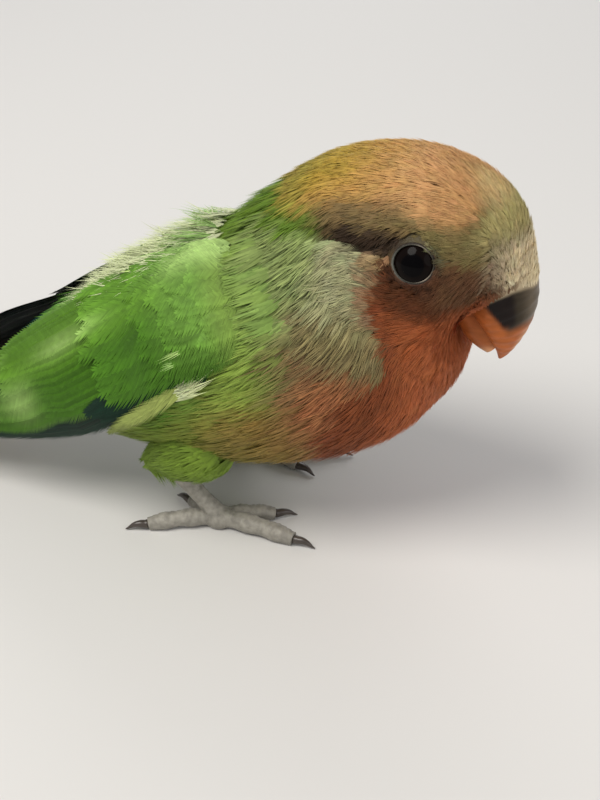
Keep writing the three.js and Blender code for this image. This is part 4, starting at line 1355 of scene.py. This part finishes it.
# Eyes and lids
EYE_DARK = rgb(16, 10, 8)
PUPIL = rgb(5, 4, 5)
LID = rgb(62, 60, 50)
LID_PALE_HIGHLIGHT = rgb(168, 156, 140)
LID_CREASE_SHADE = rgb(36, 26, 20)
LID_GREY = rgb(112, 114, 106)


def frame_of(e):
    """Directions forward, upward and outward at an eye."""
    out = e["out"]
    forward = e["forward"] - (e["forward"] @ out) * out
    forward /= np.linalg.norm(forward)
    upward = np.cross(out, forward)
    if upward[2] < 0:
        upward = -upward
    return forward, upward, out


def make_eyeball(side):
    e = eyes[side]
    forward, upward, out = frame_of(e)
    L, M = grid(np.linspace(0.004, math.pi - 0.004, 49), circle(64))
    radius, height = EYEBALL * np.sin(L), EYEBALL * np.cos(L)
    rings = (np.cos(M) * radius)[..., None] * forward + (np.sin(M) * radius)[..., None] * upward
    rings = e["centre"] + (rings + height[..., None] * out)
    if side == RIGHT:
        rings = rings[:, ::-1]
    vertices, faces = loft(rings)
    pupil = rise(radius, 1.9, 1.6) * (L < 1.5)
    obj = make_object(f"eyeball_{SIDE_NAME[side]}", vertices, [f[:, ::-1] for f in faces])
    paint(obj, with_caps(blended(plain(EYE_DARK, L.shape), PUPIL, pupil)))
    finish_piece(obj, eye_material, "eye", f"eye_{SIDE_NAME[side]}")


def make_lids(side):
    """A thin uneven rim with painted highlights, a crease with painted shade and an outer fold that slopes
    down under the feathers.
    """
    e = eyes[side]
    forward, upward, out = frame_of(e)
    Q, F = grid(np.linspace(0, 1, 40), circle(144))
    inner = 2.86 - 0.12 * np.abs(np.sin(F)) + 0.05 * np.cos(2 * F + 0.9)
    radius = inner + Q**1.2 * 2.6
    height = np.interp(Q, [0, 0.02, 0.05, 0.09, 0.14, 0.25, 0.4, 1],
                       [-0.42, -0.02, 0.1, 0.06, -0.12, -0.06, -0.3, -1.1])
    height = height - radius**2 / 30 + 0.22
    height = height + 0.02 * np.sin(46 * F + 3 * np.sin(5 * F)) * rise(Q, 0.02, 0.1) * rise(Q, 0.5, 0.3)
    p = e["at"] + (np.cos(F) * radius)[..., None] * forward + (np.sin(F) * radius + 0.16)[..., None] * upward
    p = p + height[..., None] * out
    quads = tube_faces(*Q.shape)[0][:, [0, 3, 2, 1]]
    if side == RIGHT:
        quads = quads[:, ::-1]
    # the outer fold: olive darkened as painted shade under the brow at the top, the under-eye colour below
    fold = blended(OLIVE * 0.34, UNDER_EYE * 0.8, 0.5 - 0.5 * np.sin(F))
    tint = layered(
        plain(LID, Q.shape),
        # pale rim, lightest at its lower front and upper front as painted highlights
        (LID_PALE_HIGHLIGHT, np.maximum(0.5 * band(F, 1.0, 0.35), band(F, 5.35, 0.4))),
        # painted shade in the crease round the rim
        (LID_CREASE_SHADE, rise(Q, 0.08, 0.13)),
        (LID_GREY, 0.8 * band(F, 3.3, 0.9) * band(Q, 0.16, 0.1)),
        (fold, rise(Q, 0.16, 0.26)),
        # painted shade of the overhanging brow on the lid's upper back
        (BROW_BROWN_AND_SHADE, 0.8 * band(F, 2.3, 0.5) * rise(Q, 0.1, 0.2)),
    )
    obj = make_object(f"eyelid_{SIDE_NAME[side]}", p.reshape(-1, 3), [quads])
    paint(obj, tint.reshape(-1, 3))
    finish_piece(obj, lid_material, "face_feathers")


for side in (LEFT, RIGHT):
    make_eyeball(side)
    make_lids(side)

# Feet
TOES = [  # name, length, degrees from straight ahead, half the thickness
    ("front_outer", 14.5, -9, 1.75), ("front_inner", 10, 24, 1.6), ("back_outer", 12.5, 202, 1.65),
    ("back_inner", 7.5, 150, 1.45),
]
SHANK = [(0, 0, 1.6), (-2.8, 0.1, 5), (-6.4, 0.3, 9.2), HEEL]
FOOT_GREY = rgb(150, 146, 136)
CLAW_DARK = rgb(70, 62, 56)


def toe_path(length, angle, side, share):
    """The middle line of a toe, which is a little arched."""
    a = math.radians(-side * angle)
    arch = 0.5 * np.sin(math.pi * share)
    height = mix(1.75, 1.25, share) + arch - 0.35
    return np.stack([length * share * math.cos(a), length * share * math.sin(a), height], -1)


def pipe(path, radii, sides, bumps=None):
    """Rings round a path. bumps(share, angle) is added to the radius."""
    along = unit(np.gradient(path, axis=0))
    across = unit(np.cross([0, 0, 1.0], along), 1e-9)
    upward = np.cross(along, across)
    a = circle(sides)
    r = radii[:, None] * np.ones(sides)
    if bumps is not None:
        r = r + bumps(np.linspace(0, 1, len(path))[:, None], a[None])
    x, z = (np.cos(a) * r)[..., None], (np.sin(a) * r)[..., None]
    return path[:, None] + x * across[:, None] + z * upward[:, None]


def curve_through(points, count):
    return between(np.array(points, float), np.linspace(0, len(points) - 1, count))


def make_foot(side):
    offset = np.array([FOOT[0], side * FOOT[1], 0])
    parts = []
    for _, length, angle, thick in TOES:
        share = np.linspace(0, 1, 60)
        knuckle = np.interp(share, [0, 0.22, 0.4, 0.58, 0.78, 1], [1.05, 0.92, 1.08, 0.88, 1.0, 0.72])
        plates = lambda s, a: 0.13 * np.mod(s * length / 1.05, 1) * rise(np.sin(a), -0.1, 0.4)
        path = toe_path(length, angle, side, share)
        parts.append(pipe(path, knuckle * thick - 0.08, sides=24, bumps=plates))
    lat, lon = grid(np.linspace(0.05, math.pi - 0.05, 20), circle(28))
    x, y = 2.86 * np.sin(lat) * np.cos(lon), 2.6 * np.sin(lat) * np.sin(lon)
    parts.append(np.stack([x, y, 1.4 - 2.08 * np.cos(lat)], -1))
    path = curve_through([(x, side * y, z) for x, y, z in SHANK], 60)
    radii = np.interp(np.linspace(0, 1, 60), [0, 0.33, 0.66, 1], [2.1, 1.55, 1.6, 2.3])
    rough = lambda s, a: 0.1 * np.mod(s * 13, 1) * rise(np.cos(a - math.pi / 2), 0.2, 0.7)
    parts.append(pipe(path, radii - 0.05, sides=28, bumps=rough))
    v, faces = joined(parts)
    v = v + offset
    v[:, 2] = np.maximum(v[:, 2], 0.0)
    obj = make_object(f"foot_skin_{SIDE_NAME[side]}", v, faces)
    paint(obj, FOOT_GREY * mix(0.8, 1.05, rise(v[:, 2:3], 0, 3)))
    finish_piece(obj, foot_material, "scaly_skin", f"foot_{SIDE_NAME[side]}")


def make_claws(side):
    offset = np.array([FOOT[0], side * FOOT[1], 0])
    s = np.linspace(0, 1, 18)
    at = [0, 0.3, 0.65, 1]
    lowest, radii = np.interp(s, at, [1, 0.9, 0.6, 0.2]), np.interp(s, at, [0.82, 0.7, 0.42, 0.08])
    s = s[:, None]
    drop = mix(0.15, 1.0, s * s) - 0.5 * np.sin(math.pi * s)
    parts = []
    for _, length, angle, _ in TOES:
        end = toe_path(length, angle, side, np.array([1.0]))[0]
        a = math.radians(-side * angle)
        out = np.array([math.cos(a), math.sin(a), 0])
        path = end + out * (0.1 + 4.6 * s * (1 - 0.12 * s)) - np.array([0, 0, 1.0]) * drop
        path[:, 2] = np.maximum(path[:, 2], lowest)
        parts.append(pipe(path, radii, sides=16))
    v, faces = joined(parts)
    obj = make_object(f"claws_{SIDE_NAME[side]}", v + offset, faces)
    paint(obj, np.tile(CLAW_DARK, (len(v), 1)))
    finish_piece(obj, claw_material, "claw_horn", *(f"claw_{SIDE_NAME[side]}_{t[0]}" for t in TOES))


for side in (LEFT, RIGHT):
    make_foot(side)
    make_claws(side)


# Studio
FLOOR_REACH = 3000
FLOOR_COLOUR = (0.72, 0.71, 0.69, 1)
AIM = (0.02, 0, 0.045)  # where the lights point, in metres
WORLD_COLOUR, WORLD_STRENGTH = (0.98, 0.98, 1.0, 1), 0.4
# The camera's place in millimetres, its direction, and its focal length in pixels of a picture so high
CAMERA_AT, CAMERA_AHEAD = (55.34, -177.66, 133.25), (-0.22068, 0.82359, -0.52250)
SENSOR, FOCAL_PIXELS, PICTURE_HEIGHT = 36, 1224, 800


def make_floor():
    corners = [(-1, -1, 0), (1, -1, 0), (1, 1, 0), (-1, 1, 0)]
    vertices = np.array(corners, float) * FLOOR_REACH - SHIFT
    obj = make_object("floor", vertices, [np.array([[0, 1, 2, 3]])])
    material, _, _, shader = new_material("floor")
    set_inputs(shader, Base_Color=FLOOR_COLOUR, Roughness=0.8)
    obj.data.materials.append(material)


def area_light(name, place, size, energy, colour=(1, 1, 1)):
    light = bpy.data.lights.new(name, "AREA")
    light.shape = "DISK"
    light.size, light.energy, light.color = size, energy, colour
    obj = bpy.data.objects.new(name, light)
    obj.location = place
    obj.rotation_euler = (Vector(AIM) - Vector(place)).to_track_quat("-Z", "Y").to_euler()
    bpy.context.collection.objects.link(obj)


make_floor()
area_light("key", (-0.25, -0.35, 0.75), size=0.5, energy=5.4, colour=(1.0, 0.965, 0.91))
area_light("fill", (0.7, -0.35, 0.35), size=0.7, energy=1.2, colour=(1.0, 0.98, 0.95))
area_light("back", (-0.1, 0.7, 0.5), size=0.6, energy=1.6)
world = bpy.data.worlds.new("studio")
world.use_nodes = True
set_inputs(world.node_tree.nodes["Background"], Color=WORLD_COLOUR, Strength=WORLD_STRENGTH)
bpy.context.scene.world = world
bpy.context.scene.view_settings.view_transform = "Standard"

camera_data = bpy.data.cameras.new("camera")
camera_data.sensor_width = SENSOR
camera_data.lens = SENSOR * FOCAL_PIXELS / PICTURE_HEIGHT
camera_data.clip_start = 0.01
camera = bpy.data.objects.new("camera", camera_data)
camera.location = (Vector(CAMERA_AT) + Vector(SHIFT)) * MM
camera.rotation_euler = Vector(CAMERA_AHEAD).to_track_quat("-Z", "Y").to_euler()
bpy.context.collection.objects.link(camera)
bpy.context.scene.camera = camera
